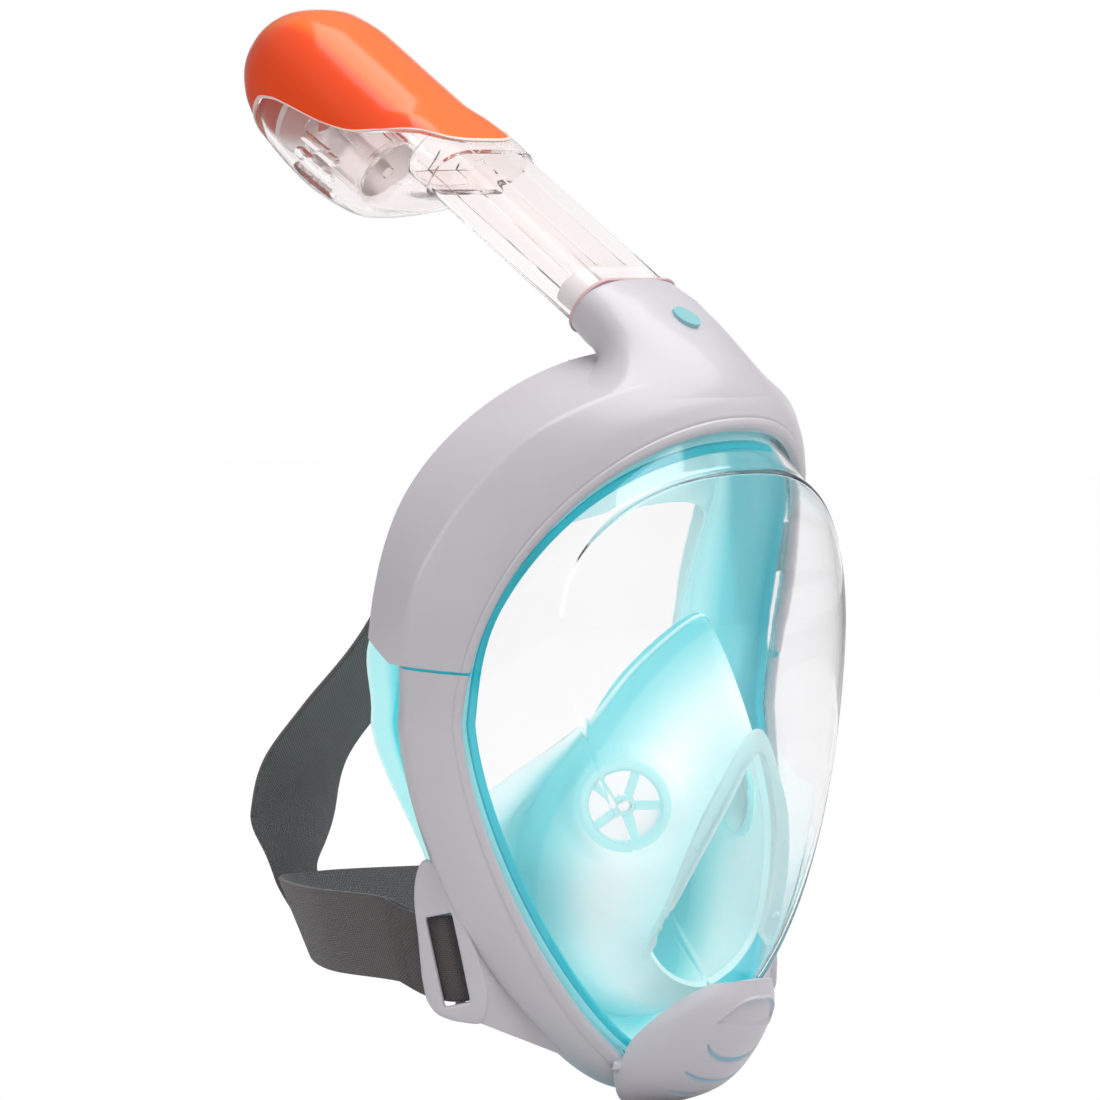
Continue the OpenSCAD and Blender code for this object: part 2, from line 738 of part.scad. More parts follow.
inhale_turn = 53;
inhale_place = 2.35;
inhale_pos = cup_middle(loop_point(whole_loop(mouth_half), inhale_place),
    loop_point(whole_loop(face_half), inhale_place));
inhale_seat_d = inhale_d + 2*seat_ring;
inhale_seat_h = seat_h + cup_wall;

// Puts a piece on the right inhale valve: z points out of the cup towards the visor.
module on_inhale_valve() {
    translate(inhale_pos)
        rotate([90, 0, inhale_turn])
            children();
}

module on_left() {
    mirror([1, 0, 0])
        children();
}

module orinasal_cup() {
    color(silicone)
        difference() {
            ring_loft([for (k = [0:cup_steps - 1])
                let (a = mouth_loop[k], c = face_loop[k], b = cup_middle(a, c), d = web_loop[k])
                    [cup_inner(a), cup_inner(b), cup_inner(c), cup_inner(d), d, c, b, a]]);
            for (side = [0, 1])
                mirror([side, 0, 0])
                    on_inhale_valve()
                        cylinder(d = inhale_seat_d + 2*stem_gap, h = 6*inhale_seat_h, center = true);
        }
}

module inhale_seat() {
    color(silicone)
        on_inhale_valve()
            translate([0, 0, -inhale_seat_h/2])
                spoked_seat(inhale_d, inhale_seat_h);
}

module inhale_flap() {
    color(clear)
        on_inhale_valve()
            translate([0, 0, -inhale_seat_h/2])
                stemmed_flap(inhale_d);
}

// A clear clamp along the cup's mouth, from one lower corner over the nose to the other,
// with small studs on its outer side.
rail_sides = 6;
rail_steps = 16;
rail_end = 4.15;
rail_fore = rail_d/2 + 0.2;
stud_d = 2.4;
stud_h = 2;
stud_places = [1.9, 3.4];

function mouth_place(u) = let (loop = whole_loop(mouth_half)) loop_point(loop, u < 0 ? u + len(loop) : u);
function rail_section(p) = let (v = [p.x, p.z - cup_mid_z]/norm([p.x, p.z - cup_mid_z]))
    [for (k = [0:rail_sides - 1]) let (a = -360*k/rail_sides)
        [p.x + v.x*rail_d/2*cos(a), p.y - rail_fore + rail_d/2*sin(a), p.z + v.y*rail_d/2*cos(a)]];

module cup_rail() {
    color(clear) {
        capped_loft([for (i = [-rail_steps:rail_steps]) rail_section(mouth_place(rail_end*i/rail_steps))]);
        for (side = [0, 1], u = stud_places)
            mirror([side, 0, 0])
                rail_stud(mouth_place(u));
    }
}

// A small stud that stands out of the clamp at a point of the cup's mouth.
module rail_stud(p) {
    translate(p - [0, rail_fore, 0])
        rotate([0, 90 - atan2(p.z - cup_mid_z, p.x), 0])
            cylinder(d = stud_d, h = rail_d/2 + stud_h);
}

// Chin cover: a keel from the visor's front down under the chin, with sides drawn back

cover_cols = 12;
cover_keel = [[-6, -75], [-5.5, -84], [2, -97], [14.5, -108.7], [33, -114.6]];
cover_edge = [[2.6, -76], [8.5, -80], [15.2, -86], [21.4, -93], [24, -101]];
cover_rows = 3;

function cover_half_w(u) = lerp(cover_top_half_w, cover_rear_half_w, sin(90*u/(len(cover_keel) - 1)));
function cover_place(list, u) = path_point(list, u) - [rim_depth, 0];
function cover_row(u, inset) = let (keel = cover_place(cover_keel, u), edge = cover_place(cover_edge, u),
        low = keel + inset*[0.72, 0.69])
    [for (k = [0:cover_cols]) let (a = lerp(-90, 90, k/cover_cols), q = lerp(edge, low, cos(a)))
        [(cover_half_w(u) - inset)*sin(a), q.x, q.y]];
function cover_section(u) = let (inner = cover_row(u, cover_wall))
    concat([for (k = [0:cover_cols]) inner[k]], [for (p = [cover_row(u, 0)], k = [cover_cols:-1:0]) p[k]]);

module chin_cover() {
    n = (len(cover_keel) - 1)*cover_rows;
    color(frame_white)
        folded_loft([for (k = [0:n]) cover_section(k/cover_rows)]);
}

// Snorkel: an oval tube with two inner walls, plugged into the socket

tube_end_gap = 0.5;
tube_into_head = 8;
septum_x = 7;
septum_t = 1.2;
inner_w = tube_w - 2*tube_wall;
inner_t = tube_t - 2*tube_wall;
sleeve_low = 22;
sleeve_fit = 0.1;
seal_h = 1.2;
seal_step = 0.7;

module snorkel_tube() {
    color(clear)
        on_snorkel() {
            translate([0, 0, tube_end_gap - socket_depth])
                linear_extrude(socket_depth - tube_end_gap + tube_free + tube_into_head)
                    difference() {
                        stadium(tube_w, tube_t);
                        stadium(inner_w, inner_t);
                    }
            for (side = [-1, 1])
                translate([side*septum_x - septum_t/2, -inner_t/2 - tube_wall/2, sleeve_free + 1])
                    cube([septum_t, inner_t + tube_wall, tube_free + tube_into_head - sleeve_free - 1]);
        }
}

module tube_sleeve() {
    color([0.72, 0.71, 0.72])
        on_snorkel()
            translate([0, 0, -sleeve_low])
                linear_extrude(sleeve_low + sleeve_free)
                    difference() {
                        stadium(inner_w - 2*sleeve_fit, inner_t - 2*sleeve_fit);
                        stadium(inner_w - 2*sleeve_wall, inner_t - 2*sleeve_wall);
                    }
}

module collar_seal() {
    color([0.9, 0.75, 0.74])
        on_snorkel()
            linear_extrude(seal_h)
                difference() {
                    stadium(bore_w + 2*collar_wall - 2*seal_step, bore_t + 2*collar_wall - 2*seal_step);
                    stadium(bore_w, bore_t);
                }
}

// Snorkel head: an orange cap, a clear inlet shell and the float valve inside

base_lip = 1.2;
bore_spare = 10;

// Rings of the head: share of its length, half width, front and rear faces, roundness.
head_table = let (base_w = tube_w/2 + base_lip, base_t = tube_t/2 + base_lip, w = head_half_w,
        f = head_front, r = head_rear)
    [[-0.03, base_w, base_t, base_t, 3.4], [0.05, w*0.91, f, lerp(base_t, r, 0.2), 3.2],
        [0.15, w*0.96, f, lerp(base_t, r, 0.6), 3], [0.27, w, f, lerp(base_t, r, 0.9), 2.3],
        [0.47, w, f, r, 2.3], [0.68, w*0.98, f, r - 1.5, 2.3], [0.81, w*0.89, f - 1.4, r - 5, 2.3],
        [0.9, w*0.72, f - 5.6, r - 9.5, 2.3], [0.965, w*0.45, f - 12, r - 15, 2.2],
        [1, w*0.06, f - 21, r - 21.5, 2]];
hollow_shares = [0.05, 0.15, 0.27, 0.47, 0.68, 0.81, 0.9, 0.95];

function head_value(share, col) = lookup(share, [for (r = head_table) [r[0], r[col]]]);
function head_ring(share, inset) = oval(head_value(share, 1) - inset, head_value(share, 2) - inset,
    head_value(share, 3) - inset, tube_free + head_len*share, head_value(share, 4));

module head_shell() {
    on_snorkel()
        difference() {
            capped_loft([for (r = head_table) head_ring(r[0], 0)]);
            capped_loft([for (u = hollow_shares) head_ring(u, head_wall*(1 + 0.6*smooth((u - 0.8)/0.1)))]);
            translate([0, 0, tube_free - bore_spare])
                linear_extrude(bore_spare + tube_into_head + sleeve_fit)
                    stadium(tube_w + 2*sleeve_fit, tube_t + 2*sleeve_fit);
        }
}

split_gap = 0.15;

// Side view of the inlet shell: the line where it meets the cap, as rear and height.
split_line = [[-14, -8], [-10.5, -1], [-6.5, 11], [0, 20], [6, 28], [10, 38], [12.5, 48], [15, 57],
    [19, 62.5], [25, 63.5], [32, 61.5], [40, 58], [60, 58], [60, -20], [-14, -20]];

module inlet_region(shift) {
    on_snorkel()
        translate([far/2, shift, tube_free - shift])
            rotate([90, 0, -90])
                mirror([1, 0, 0])
                    linear_extrude(far)
                        polygon(split_line);
}

inlet_slots = 3;
inlet_slot_w = 3;
inlet_slot_h = 16;
inlet_slot_z = 34;
inlet_slot_step = 6;

module inlet_shell() {
    color(clear)
        difference() {
            intersection() {
                head_shell();
                inlet_region(split_gap);
            }
            on_snorkel()
                for (k = [0:inlet_slots - 1])
                    translate([0, 17 + inlet_slot_step*k, tube_free + inlet_slot_z])
                        rotate([0, 90, 0])
                            linear_extrude(far, center = true)
                                stadium(inlet_slot_h, inlet_slot_w);
        }
}

module top_cap() {
    color([0.98, 0.38, 0.16])
        difference() {
            head_shell();
            inlet_region(-split_gap);
        }
}

cage_wall = 1.2;
cage_gap = 0.4;
cage_floor = 2;
cage_low = tube_free + 24;
cage_d = float_d + 2*cage_gap + 2*cage_wall;
cage_window_w = 9;
cage_inset = 3;
float_y = head_rear - head_wall - cage_inset - cage_d/2;
float_low = cage_low + cage_floor + flap_gap;
gasket_h = 1.2;
gasket_w = 3;
port_d = 11;
seat_plate = 2;
cage_h = cage_floor + flap_gap + float_h + gasket_h + float_travel + flap_gap;

module in_head(z) {
    on_snorkel()
        translate([0, float_y, z])
            children();
}

// The cage has four windows, and a floor that carries the guide pin.
module float_cage() {
    color(clear)
        in_head(cage_low) {
            difference() {
                cylinder(d = cage_d, h = cage_h);
                translate([0, 0, cage_floor])
                    cylinder(d = cage_d - 2*cage_wall, h = cage_h);
                for (k = [0:1])
                    rotate(45 + 90*k)
                        translate([-cage_d, -cage_window_w/2, cage_floor + cage_wall])
                            cube([2*cage_d, cage_window_w, cage_h - cage_floor - 4*cage_wall]);
            }
            cylinder(d = guide_d, h = cage_h - float_travel);
        }
}

// The plate closes the head above the float; its port is what the float shuts.
module valve_seat() {
    low = (cage_low + cage_h - tube_free)/head_len;
    color(frame_white)
        difference() {
            on_snorkel()
                capped_loft([for (u = [low, low + seat_plate/head_len]) head_ring(u, head_wall + seat_gap)]);
            in_head(cage_low + cage_h - 1)
                cylinder(d = port_d, h = seat_plate + 2);
        }
}

module float() {
    color([0.93, 0.93, 0.95])
        in_head(float_low)
            difference() {
                cylinder(d = float_d, h = float_h);
                translate([0, 0, -1])
                    cylinder(d = guide_d + 2*stem_gap, h = float_h + 2);
            }
}

module float_gasket() {
    color([0.25, 0.25, 0.27])
        in_head(float_low + float_h)
            difference() {
                cylinder(d = port_d + 2*gasket_w, h = gasket_h);
                translate([0, 0, -1])
                    cylinder(d = guide_d + 2, h = gasket_h + 2);
            }
}

// Head strap: a lower band looped round a pin in each ear, and an upper band to the brow

lap = 17;
lap_rise = 0.5;
lap_level = 7;
loop_r = strap_pin_d/2 + strap_fit + strap_t/2;
layer = strap_t + strap_fit;
loop_turns = [-90:30:90];

// Half a turn round a pin at the given place, from its outer to its inner side.
function half_turn(place, r) = [for (a = loop_turns) place + r*[-cos(a), sin(a)]];

// World place of a point of the left slot: along the plate, up the slot and inwards.
function slot_point(u, v, n) = let (a = pin_u + u + v*sin(ear_tilt), b = slot_mid + v*cos(ear_tilt)
        + max(0, u - lap_level)*lap_rise)
    ear_pos + [-a*sin(ear_turn) + n*cos(ear_turn), a*cos(ear_turn) + n*sin(ear_turn), b];
slot_up = slot_point(0, 1, 0) - slot_point(0, 0, 0);

// Half of the lower band: the lap, the loop round the pin and the run to the back.
band_half = let (pin = [0, pin_depth]) [for (q = concat(
        [[lap, pin_depth + loop_r - layer], [lap*0.6, pin_depth - loop_r*0.3],
        [lap*0.2, pin_depth - loop_r + strap_fit]], half_turn(pin, loop_r),
        [[lap*0.5, pin_depth + loop_r], [lap, pin_depth + loop_r]]))
    slot_point(q[0], 0, q[1])];
band_back = [[-66, 22], [-42, 51], [-16, 72], [0, 77]];
band_rise = 5.5;
band_lean = 36;
function band_rear(q) = [q.x, strap_reach*q.y/77, strap_z + slot_mid + band_rise];

band_steps = 2;
band_twist_from = 11;
band_left = smooth_path(concat(band_half, [for (q = band_back) band_rear(q)]), band_steps);
band_n = len(band_left);
band_rear_up = [0, sin(band_lean), cos(band_lean)];
band_up = [for (k = [0:band_n - 1]) let (twist = smooth((k/band_steps - band_twist_from)/4),
    w = lerp(slot_up, band_rear_up, twist)) w/norm(w)];
band_path = concat(band_left, [for (k = [band_n - 2:-1:0]) mirrored(band_left[k])]);
band_width_dir = concat(band_up, [for (k = [band_n - 2:-1:0]) mirrored(band_up[k])]);

// A ribbon along a path, with its width direction and width at each point.
function ribbon_sections(path, up, width, t) = let (n = len(path)) [for (k = [0:n - 1])
    let (along = path[min(k + 1, n - 1)] - path[max(k - 1, 0)], side = cross(along, up[k]),
        s = side/norm(side)*t/2, w = up[k]*width[k]/2, p = path[k])
    [p + w + s, p - w + s, p - w - s, p + w - s]];

module strap_lower() {
    color(strap_grey)
        capped_loft(ribbon_sections(band_path, band_width_dir, [for (p = band_path) strap_w], strap_t));
}

bar_d = 4;
bar_stand = 10;
bar_y = rim_y(0, rim_up) + brow_back + brow_hood + bar_stand;
bar_drop = 11.5;
bar_z = rim_up + brow_rear - bar_drop;
bar_loop = bar_d/2 + strap_fit + strap_t/2;
crown_foot_w = 20;
crown_foot = 14;
crown_y = strap_reach + layer;
crown_lean = [sin(band_lean), cos(band_lean)];
crown_join = [strap_reach, strap_z + slot_mid + band_rise] + layer*[cos(band_lean), -sin(band_lean)];
crown_side = concat([[bar_y + 12, bar_z + bar_loop - 1.2*layer - 6]], half_turn([bar_y, bar_z], bar_loop),
    [[bar_y + 12, bar_z + bar_loop - 6], [bar_y + 30, bar_z - 17], [bar_y + 52, bar_z - 42],
    [bar_y + 75, bar_z - 74], [crown_y - 12, 0], [crown_y + crown_bulge*0.4, -17],
    [crown_y + crown_bulge, -32], [crown_y + crown_bulge, -43], crown_join + crown_lean*strap_w/2,
    crown_join + crown_lean*(strap_w/2 - crown_foot)]);
crown_path = [for (q = smooth_path(crown_side, band_steps)) [0, q.x, q.y]];
crown_taper = 14;
function crown_width(k) = lerp(crown_w, crown_foot_w, smooth((k/band_steps - crown_taper)/2));

module strap_upper() {
    n = len(crown_path);
    color(strap_grey)
        capped_loft(ribbon_sections(crown_path, [for (p = crown_path) [1, 0, 0]],
            [for (k = [0:n - 1]) crown_width(k)], strap_t));
}

// Pins across the ears' lugs, one on each side.
module strap_pins() {
    color([0.75, 0.75, 0.77])
        for (side = [0, 1])
            mirror([side, 0, 0])
                in_slot()
                    translate([0, 0, pin_depth])
                        rotate([90, 0, 0])
                            cylinder(d = strap_pin_d, h = slot_h + 2*lug_h, center = true);
}

anchor_t = 2.5;
anchor_set_back = 2.4;
anchor_w = crown_w + 2*anchor_t + 2;
anchor_h = 12.5;

// A bracket on the hood's rear edge with the bar that the upper band loops round.
module strap_anchor() {
    plate_y = bar_y - bar_stand + anchor_set_back + seat_gap;
    color(frame_white) {
        for (side = [-1, 1])
            translate([side*(anchor_w - anchor_t)/2 - anchor_t/2, plate_y, bar_z - bar_d])
                cube([anchor_t, bar_y - plate_y + bar_d, 2*bar_d]);
        translate([-anchor_w/2, plate_y, bar_z - bar_d])
            cube([anchor_w, anchor_t, anchor_h]);
        translate([-anchor_w/2, bar_y, bar_z])
            rotate([0, 90, 0])
                cylinder(d = bar_d, h = anchor_w);
    }
}

// Drawing, one line for each node

visor();
upper_frame();
lower_frame();
face_skirt();
orinasal_cup();
cup_rail();
on_left() inhale_seat();  // inhale_seat_left
inhale_seat();  // inhale_seat_right
on_left() inhale_flap();  // inhale_flap_left
inhale_flap();  // inhale_flap_right
chin_valve_seat();
chin_valve_flap();
chin_cover();
brow_inlay();
collar_seal();
tube_sleeve();
snorkel_tube();
inlet_shell();
top_cap();
float_cage();
valve_seat();
float();
float_gasket();
strap_lower();
strap_upper();
strap_pins();
strap_anchor();
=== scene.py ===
# %% [markdown]
# # A full face snorkel mask
# The mask is a pale frame that clamps a clear window and a turquoise silicone skirt.
# A snorkel with an orange cap plugs into a socket on the brow, and two elastic bands
# hold the mask on the head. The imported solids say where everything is, and this lesson
# dresses them: most pieces are modelled again with finer shapes in the same places.

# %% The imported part
import math

import bmesh
import bpy
from mathutils import Matrix, Vector


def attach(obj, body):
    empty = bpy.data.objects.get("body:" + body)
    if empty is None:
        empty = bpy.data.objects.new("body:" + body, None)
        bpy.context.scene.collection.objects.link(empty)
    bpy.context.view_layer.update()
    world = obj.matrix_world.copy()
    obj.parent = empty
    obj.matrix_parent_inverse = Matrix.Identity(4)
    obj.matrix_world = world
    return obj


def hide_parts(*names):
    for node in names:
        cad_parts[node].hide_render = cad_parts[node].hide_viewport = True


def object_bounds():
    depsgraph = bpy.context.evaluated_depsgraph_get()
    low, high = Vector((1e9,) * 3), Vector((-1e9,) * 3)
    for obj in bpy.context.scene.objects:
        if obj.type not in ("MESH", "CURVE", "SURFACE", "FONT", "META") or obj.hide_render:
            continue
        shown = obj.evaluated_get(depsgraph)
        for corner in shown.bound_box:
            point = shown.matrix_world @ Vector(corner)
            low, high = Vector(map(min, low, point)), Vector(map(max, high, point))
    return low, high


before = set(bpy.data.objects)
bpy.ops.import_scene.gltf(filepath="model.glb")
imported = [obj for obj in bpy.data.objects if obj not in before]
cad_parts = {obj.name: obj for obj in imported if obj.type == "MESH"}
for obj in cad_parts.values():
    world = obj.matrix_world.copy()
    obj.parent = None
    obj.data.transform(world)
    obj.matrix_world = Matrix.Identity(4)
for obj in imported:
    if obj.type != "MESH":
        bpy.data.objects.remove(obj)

MM = 0.001
cad_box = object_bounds()
print("solids:", len(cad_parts), "box", [round(c, 3) for c in cad_box[1] - cad_box[0]])

# %% [markdown]
# ## Camera, light and floor
# The photograph looks at the mask from its front left with a long lens, almost level.
# A white room is easiest to get from the world itself: rays that reach the camera see
# plain white, and the rays that light the mask see a softer grey. Mirrors see white only
# straight ahead, a paler grey overhead and a darker one elsewhere, which draws the edges of
# clear pieces, and rays that go through a piece see a pale room. A large lamp above the
# front models the hood, a small one fills the left side, and one behind shines into the
# silicone. A few short helpers add shader nodes here and in the finishes.

# %% Camera
scene = bpy.context.scene
scene.view_settings.view_transform = "Standard"

aim = Vector((0.006, -0.005, 0.047))
EYE_DISTANCE, EYE_TURN, EYE_RISE = 2.6, math.radians(53), math.radians(2)
eye = aim + EYE_DISTANCE*Vector((-math.sin(EYE_TURN)*math.cos(EYE_RISE),
                                 -math.cos(EYE_TURN)*math.cos(EYE_RISE), math.sin(EYE_RISE)))
lens = bpy.data.cameras.new("long_lens")
lens.lens = 289
lens.clip_end = 50
camera = bpy.data.objects.new("camera", lens)
camera.location = eye
camera.rotation_euler = (aim - eye).to_track_quat("-Z", "Y").to_euler()
scene.collection.objects.link(camera)
scene.camera = camera
print("camera stands", round((eye - aim).length, 2), "m away")


# %% Node helpers
def add(tree, kind, **values):
    """A node with its properties set."""
    node = tree.nodes.new("ShaderNode" + kind)
    for name, value in values.items():
        setattr(node, name, value)
    return node


def feed(tree, socket, value):
    """Gives a socket a number or a link."""
    if isinstance(value, (int, float)):
        socket.default_value = value
    else:
        tree.links.new(value, socket)


def calc(tree, operation, *values):
    """A sum, product or other step of values or links."""
    node = add(tree, "Math", operation=operation)
    for socket, value in zip(node.inputs, values):
        feed(tree, socket, value)
    return node.outputs[0]


def rescale(tree, value, low, high, to_low=0.0, to_high=1.0):
    """A value stretched from one range to another, and kept inside it."""
    node = add(tree, "MapRange")
    for name, number in (("From Min", low), ("From Max", high), ("To Min", to_low), ("To Max", to_high)):
        node.inputs[name].default_value = number
    tree.links.new(value, node.inputs["Value"])
    return node.outputs["Result"]


def blend(tree, factor, a, b):
    """A value between two values or links."""
    node = add(tree, "Mix")
    for name, value in (("Factor", factor), ("A", a), ("B", b)):
        feed(tree, node.inputs[name], value)
    return node.outputs["Result"]


def ray(tree, kind):
    """One for rays of a kind, such as Camera or Glossy."""
    return add(tree, "LightPath").outputs["Is " + kind + " Ray"]


def either_shader(tree, factor, first, second):
    """The surface goes from one shader to another."""
    mixed = add(tree, "MixShader")
    for socket, source in zip(mixed.inputs, (factor, first.outputs[0], second.outputs[0])):
        tree.links.new(source, socket)
    tree.links.new(mixed.outputs[0], tree.nodes["Material Output"].inputs["Surface"])


print("node helpers ready")


# %% Light and floor
def soft_lamp(name, place, watts, size):
    """A square lamp that looks at the mask."""
    data = bpy.data.lights.new(name, "AREA")
    data.energy = watts
    data.size = size
    lamp = bpy.data.objects.new(name, data)
    lamp.location = place
    lamp.rotation_euler = (aim - Vector(place)).to_track_quat("-Z", "Y").to_euler()
    scene.collection.objects.link(lamp)
    return lamp


def towards(tree, way, low, high):
    """One where a ray runs along a direction, and zero where it is far off it."""
    where = add(tree, "TexCoord")
    dot = add(tree, "VectorMath", operation="DOT_PRODUCT")
    dot.inputs[1].default_value = way
    tree.links.new(where.outputs["Generated"], dot.inputs[0])
    return rescale(tree, dot.outputs["Value"], low, high)


soft_lamp("overhead", (0.35, -0.6, 1.55), 31, 1.8)
soft_lamp("left_fill", (-1.5, -0.2, 0.7), 6, 1.0)
behind = soft_lamp("back_wall", (1.2, 0.9, 0.2), 14, 1.6)
behind.visible_glossy = behind.visible_transmission = False

world = bpy.data.worlds.new("white_room")
world.use_nodes = True
scene.world = world
tree = world.node_tree
room = tree.nodes["Background"]
room.inputs["Color"].default_value = (1, 1, 1, 1)
AHEAD, OVERHEAD = (0.8, 0.6, 0), (0, 0, 1)
ROOM_LIGHT, MIRROR_GREY, MIRROR_TOP, THROUGH_SIDE, WHITE = 0.24, 0.3, 0.7, 0.75, 1.0
in_mirror = blend(tree, towards(tree, AHEAD, 0.93, 0.99), MIRROR_GREY, WHITE)
in_mirror = blend(tree, towards(tree, OVERHEAD, 0.4, 0.8), in_mirror, MIRROR_TOP)
through = blend(tree, towards(tree, AHEAD, 0.0, 0.7), THROUGH_SIDE, WHITE)
level = blend(tree, ray(tree, "Glossy"), ROOM_LIGHT, in_mirror)
level = blend(tree, ray(tree, "Transmission"), level, through)
tree.links.new(blend(tree, ray(tree, "Camera"), level, WHITE), room.inputs["Strength"])

FLOOR_HEIGHT = cad_box[0].z - 0.001
bm = bmesh.new()
bmesh.ops.create_grid(bm, x_segments=4, y_segments=4, size=6)
bmesh.ops.translate(bm, verts=bm.verts, vec=(0, 0, FLOOR_HEIGHT))
floor_mesh = bpy.data.meshes.new("floor")
bm.to_mesh(floor_mesh)
bm.free()
floor = bpy.data.objects.new("floor", floor_mesh)
scene.collection.objects.link(floor)

floor_paint = bpy.data.materials.new("floor_paint")
floor_paint.use_nodes = True
tree = floor_paint.node_tree
matt = tree.nodes["Principled BSDF"]
matt.inputs["Base Color"].default_value = (0.7, 0.7, 0.7, 1)
matt.inputs["Roughness"].default_value = 1
white = add(tree, "Emission")
white.inputs["Strength"].default_value = 1.05
seen = calc(tree, "MAXIMUM", ray(tree, "Camera"), ray(tree, "Transmission"))
either_shader(tree, calc(tree, "MULTIPLY", seen, 0.93), matt, white)
floor_mesh.materials.append(floor_paint)
print("lamps:", len(bpy.data.lights), "floor at", round(FLOOR_HEIGHT, 3))

# %% [markdown]
# ## Finishes
# Moulded plastic is never one even colour: it has a faint cloud from the mould, and a fine
# grain that breaks up its gloss. That effect is shared, so it is a node group with a
# colour mask, a roughness and a height. Silicone has a slower cloud and dusty
# patches, and webbing is a knit of ribs, so each of these is a group too.


# %% Shared effects
def colour(code):
    """Linear colour of a web colour."""
    parts = [int(code[i:i + 2], 16)/255 for i in (1, 3, 5)]
    return tuple(c/12.92 if c <= 0.04045 else ((c + 0.055)/1.055)**2.4 for c in parts) + (1.0,)


def noise(tree, vector, scale, detail=3.0):
    """Noise of a size given in pieces to the metre."""
    node = add(tree, "TexNoise")
    for name, value in (("Detail", detail), ("Scale", scale), ("Vector", vector)):
        feed(tree, node.inputs[name], value)
    return node.outputs["Fac"]


def new_group(name, inputs, outputs):
    """An empty shader group with value inputs and outputs, and a vector input."""
    made = bpy.data.node_groups.new(name, "ShaderNodeTree")
    made.interface.new_socket("Place", in_out="INPUT", socket_type="NodeSocketVector")
    for label, value in inputs:
        socket = made.interface.new_socket(label, in_out="INPUT", socket_type="NodeSocketFloat")
        socket.default_value = value
    for label in outputs:
        made.interface.new_socket(label, in_out="OUTPUT", socket_type="NodeSocketFloat")
    return made, made.nodes.new("NodeGroupInput").outputs, made.nodes.new("NodeGroupOutput").inputs


def gloss_between(tree, ins, mask):
    """A roughness between the group's two, by a mask."""
    span = calc(tree, "SUBTRACT", ins["Gloss High"], ins["Gloss Low"])
    return calc(tree, "MULTIPLY_ADD", mask, span, ins["Gloss Low"])


SURFACE = ["Cloud", "Roughness", "Height"]
grain, ins, outs = new_group(
    "moulded_grain", [("Grain Size", 2600.0), ("Gloss Low", 0.3), ("Gloss High", 0.4)], SURFACE)
cloud = noise(grain, ins["Place"], 14.0, 4.0)
fine = noise(grain, ins["Place"], ins["Grain Size"], 2.0)
grain.links.new(rescale(grain, cloud, 0.3, 0.7), outs["Cloud"])
grain.links.new(gloss_between(grain, ins, cloud), outs["Roughness"])
grain.links.new(fine, outs["Height"])

milk, ins, outs = new_group(
    "silicone_cloud", [("Patch Size", 22.0), ("Gloss Low", 0.3), ("Gloss High", 0.5)], SURFACE)
patch = noise(milk, ins["Place"], ins["Patch Size"], 5.0)
dust = noise(milk, ins["Place"], 900.0, 3.0)
milk.links.new(rescale(milk, patch, 0.28, 0.72), outs["Cloud"])
milk.links.new(gloss_between(milk, ins, dust), outs["Roughness"])
milk.links.new(calc(milk, "MULTIPLY", dust, patch), outs["Height"])
print("groups:", [g.name for g in bpy.data.node_groups])


# %% Plastics and silicones
PLASTIC_RELIEF, CLEAR_RELIEF, CAP_RELIEF = 0.00001, 0.000004, 0.000006
SEAL_RELIEF, SILICONE_RELIEF, KNIT_RELIEF = 0.00002, 0.00003, 0.00015
SILICONE_BEND = 1.2


def start_finish(name):
    """A new material with its tree and its shader."""
    made = bpy.data.materials.new(name)
    made.use_nodes = True
    return made, made.node_tree, made.node_tree.nodes["Principled BSDF"]


def two_tones(tree, mask, dark, light):
    """A colour between two web colours."""
    node = add(tree, "Mix", data_type="RGBA")
    node.inputs["A"].default_value = colour(dark)
    node.inputs["B"].default_value = colour(light)
    tree.links.new(mask, node.inputs["Factor"])
    return node.outputs["Result"]


def place_group(tree, group, **values):
    """A shared effect on the piece's own coordinates, with its values set."""
    node = add(tree, "Group", node_tree=group)
    where = add(tree, "TexCoord")
    tree.links.new(where.outputs["Object"], node.inputs["Place"])
    for label, value in values.items():
        node.inputs[label.replace("_", " ")].default_value = value
    return node


def bump(tree, shader, height, distance, strength=1.0):
    """Small relief from a height, in metres."""
    node = add(tree, "Bump")
    node.inputs["Distance"].default_value = distance
    node.inputs["Strength"].default_value = strength
    tree.links.new(height, node.inputs["Height"])
    tree.links.new(node.outputs["Normal"], shader.inputs["Normal"])


def surfaced(name, group, dark, light, relief, **values):
    """A finish whose colour, gloss and relief come from a shared effect."""
    made, tree, shader = start_finish(name)
    effect = place_group(tree, group, **values)
    tree.links.new(two_tones(tree, effect.outputs["Cloud"], dark, light), shader.inputs["Base Color"])
    tree.links.new(effect.outputs["Roughness"], shader.inputs["Roughness"])
    bump(tree, shader, effect.outputs["Height"], relief)
    return made, tree, shader


def let_through(tree, shader, share, bend, shadow):
    """A share of the light goes through the piece, and its shadow is only a tint."""
    shader.inputs["Transmission Weight"].default_value = share
    shader.inputs["IOR"].default_value = bend
    gap = add(tree, "BsdfTransparent")
    gap.inputs["Color"].default_value = colour(shadow)
    either_shader(tree, ray(tree, "Shadow"), shader, gap)


def clear_plastic(name, dark, light, shadow, bend, frost=0.06, clear=1.0):
    """Clear polycarbonate with faint handling marks in its gloss."""
    made, tree, shader = surfaced(name, grain, dark, light, CLEAR_RELIEF,
                                  Grain_Size=300.0, Gloss_Low=0.0, Gloss_High=frost)
    let_through(tree, shader, clear, bend, shadow)
    return made


def soft_silicone(name, dark, light, share, shadow):
    """Milky silicone: part of the light goes through it."""
    made, tree, shader = surfaced(name, milk, dark, light, SILICONE_RELIEF)
    let_through(tree, shader, share, SILICONE_BEND, shadow)
    return made


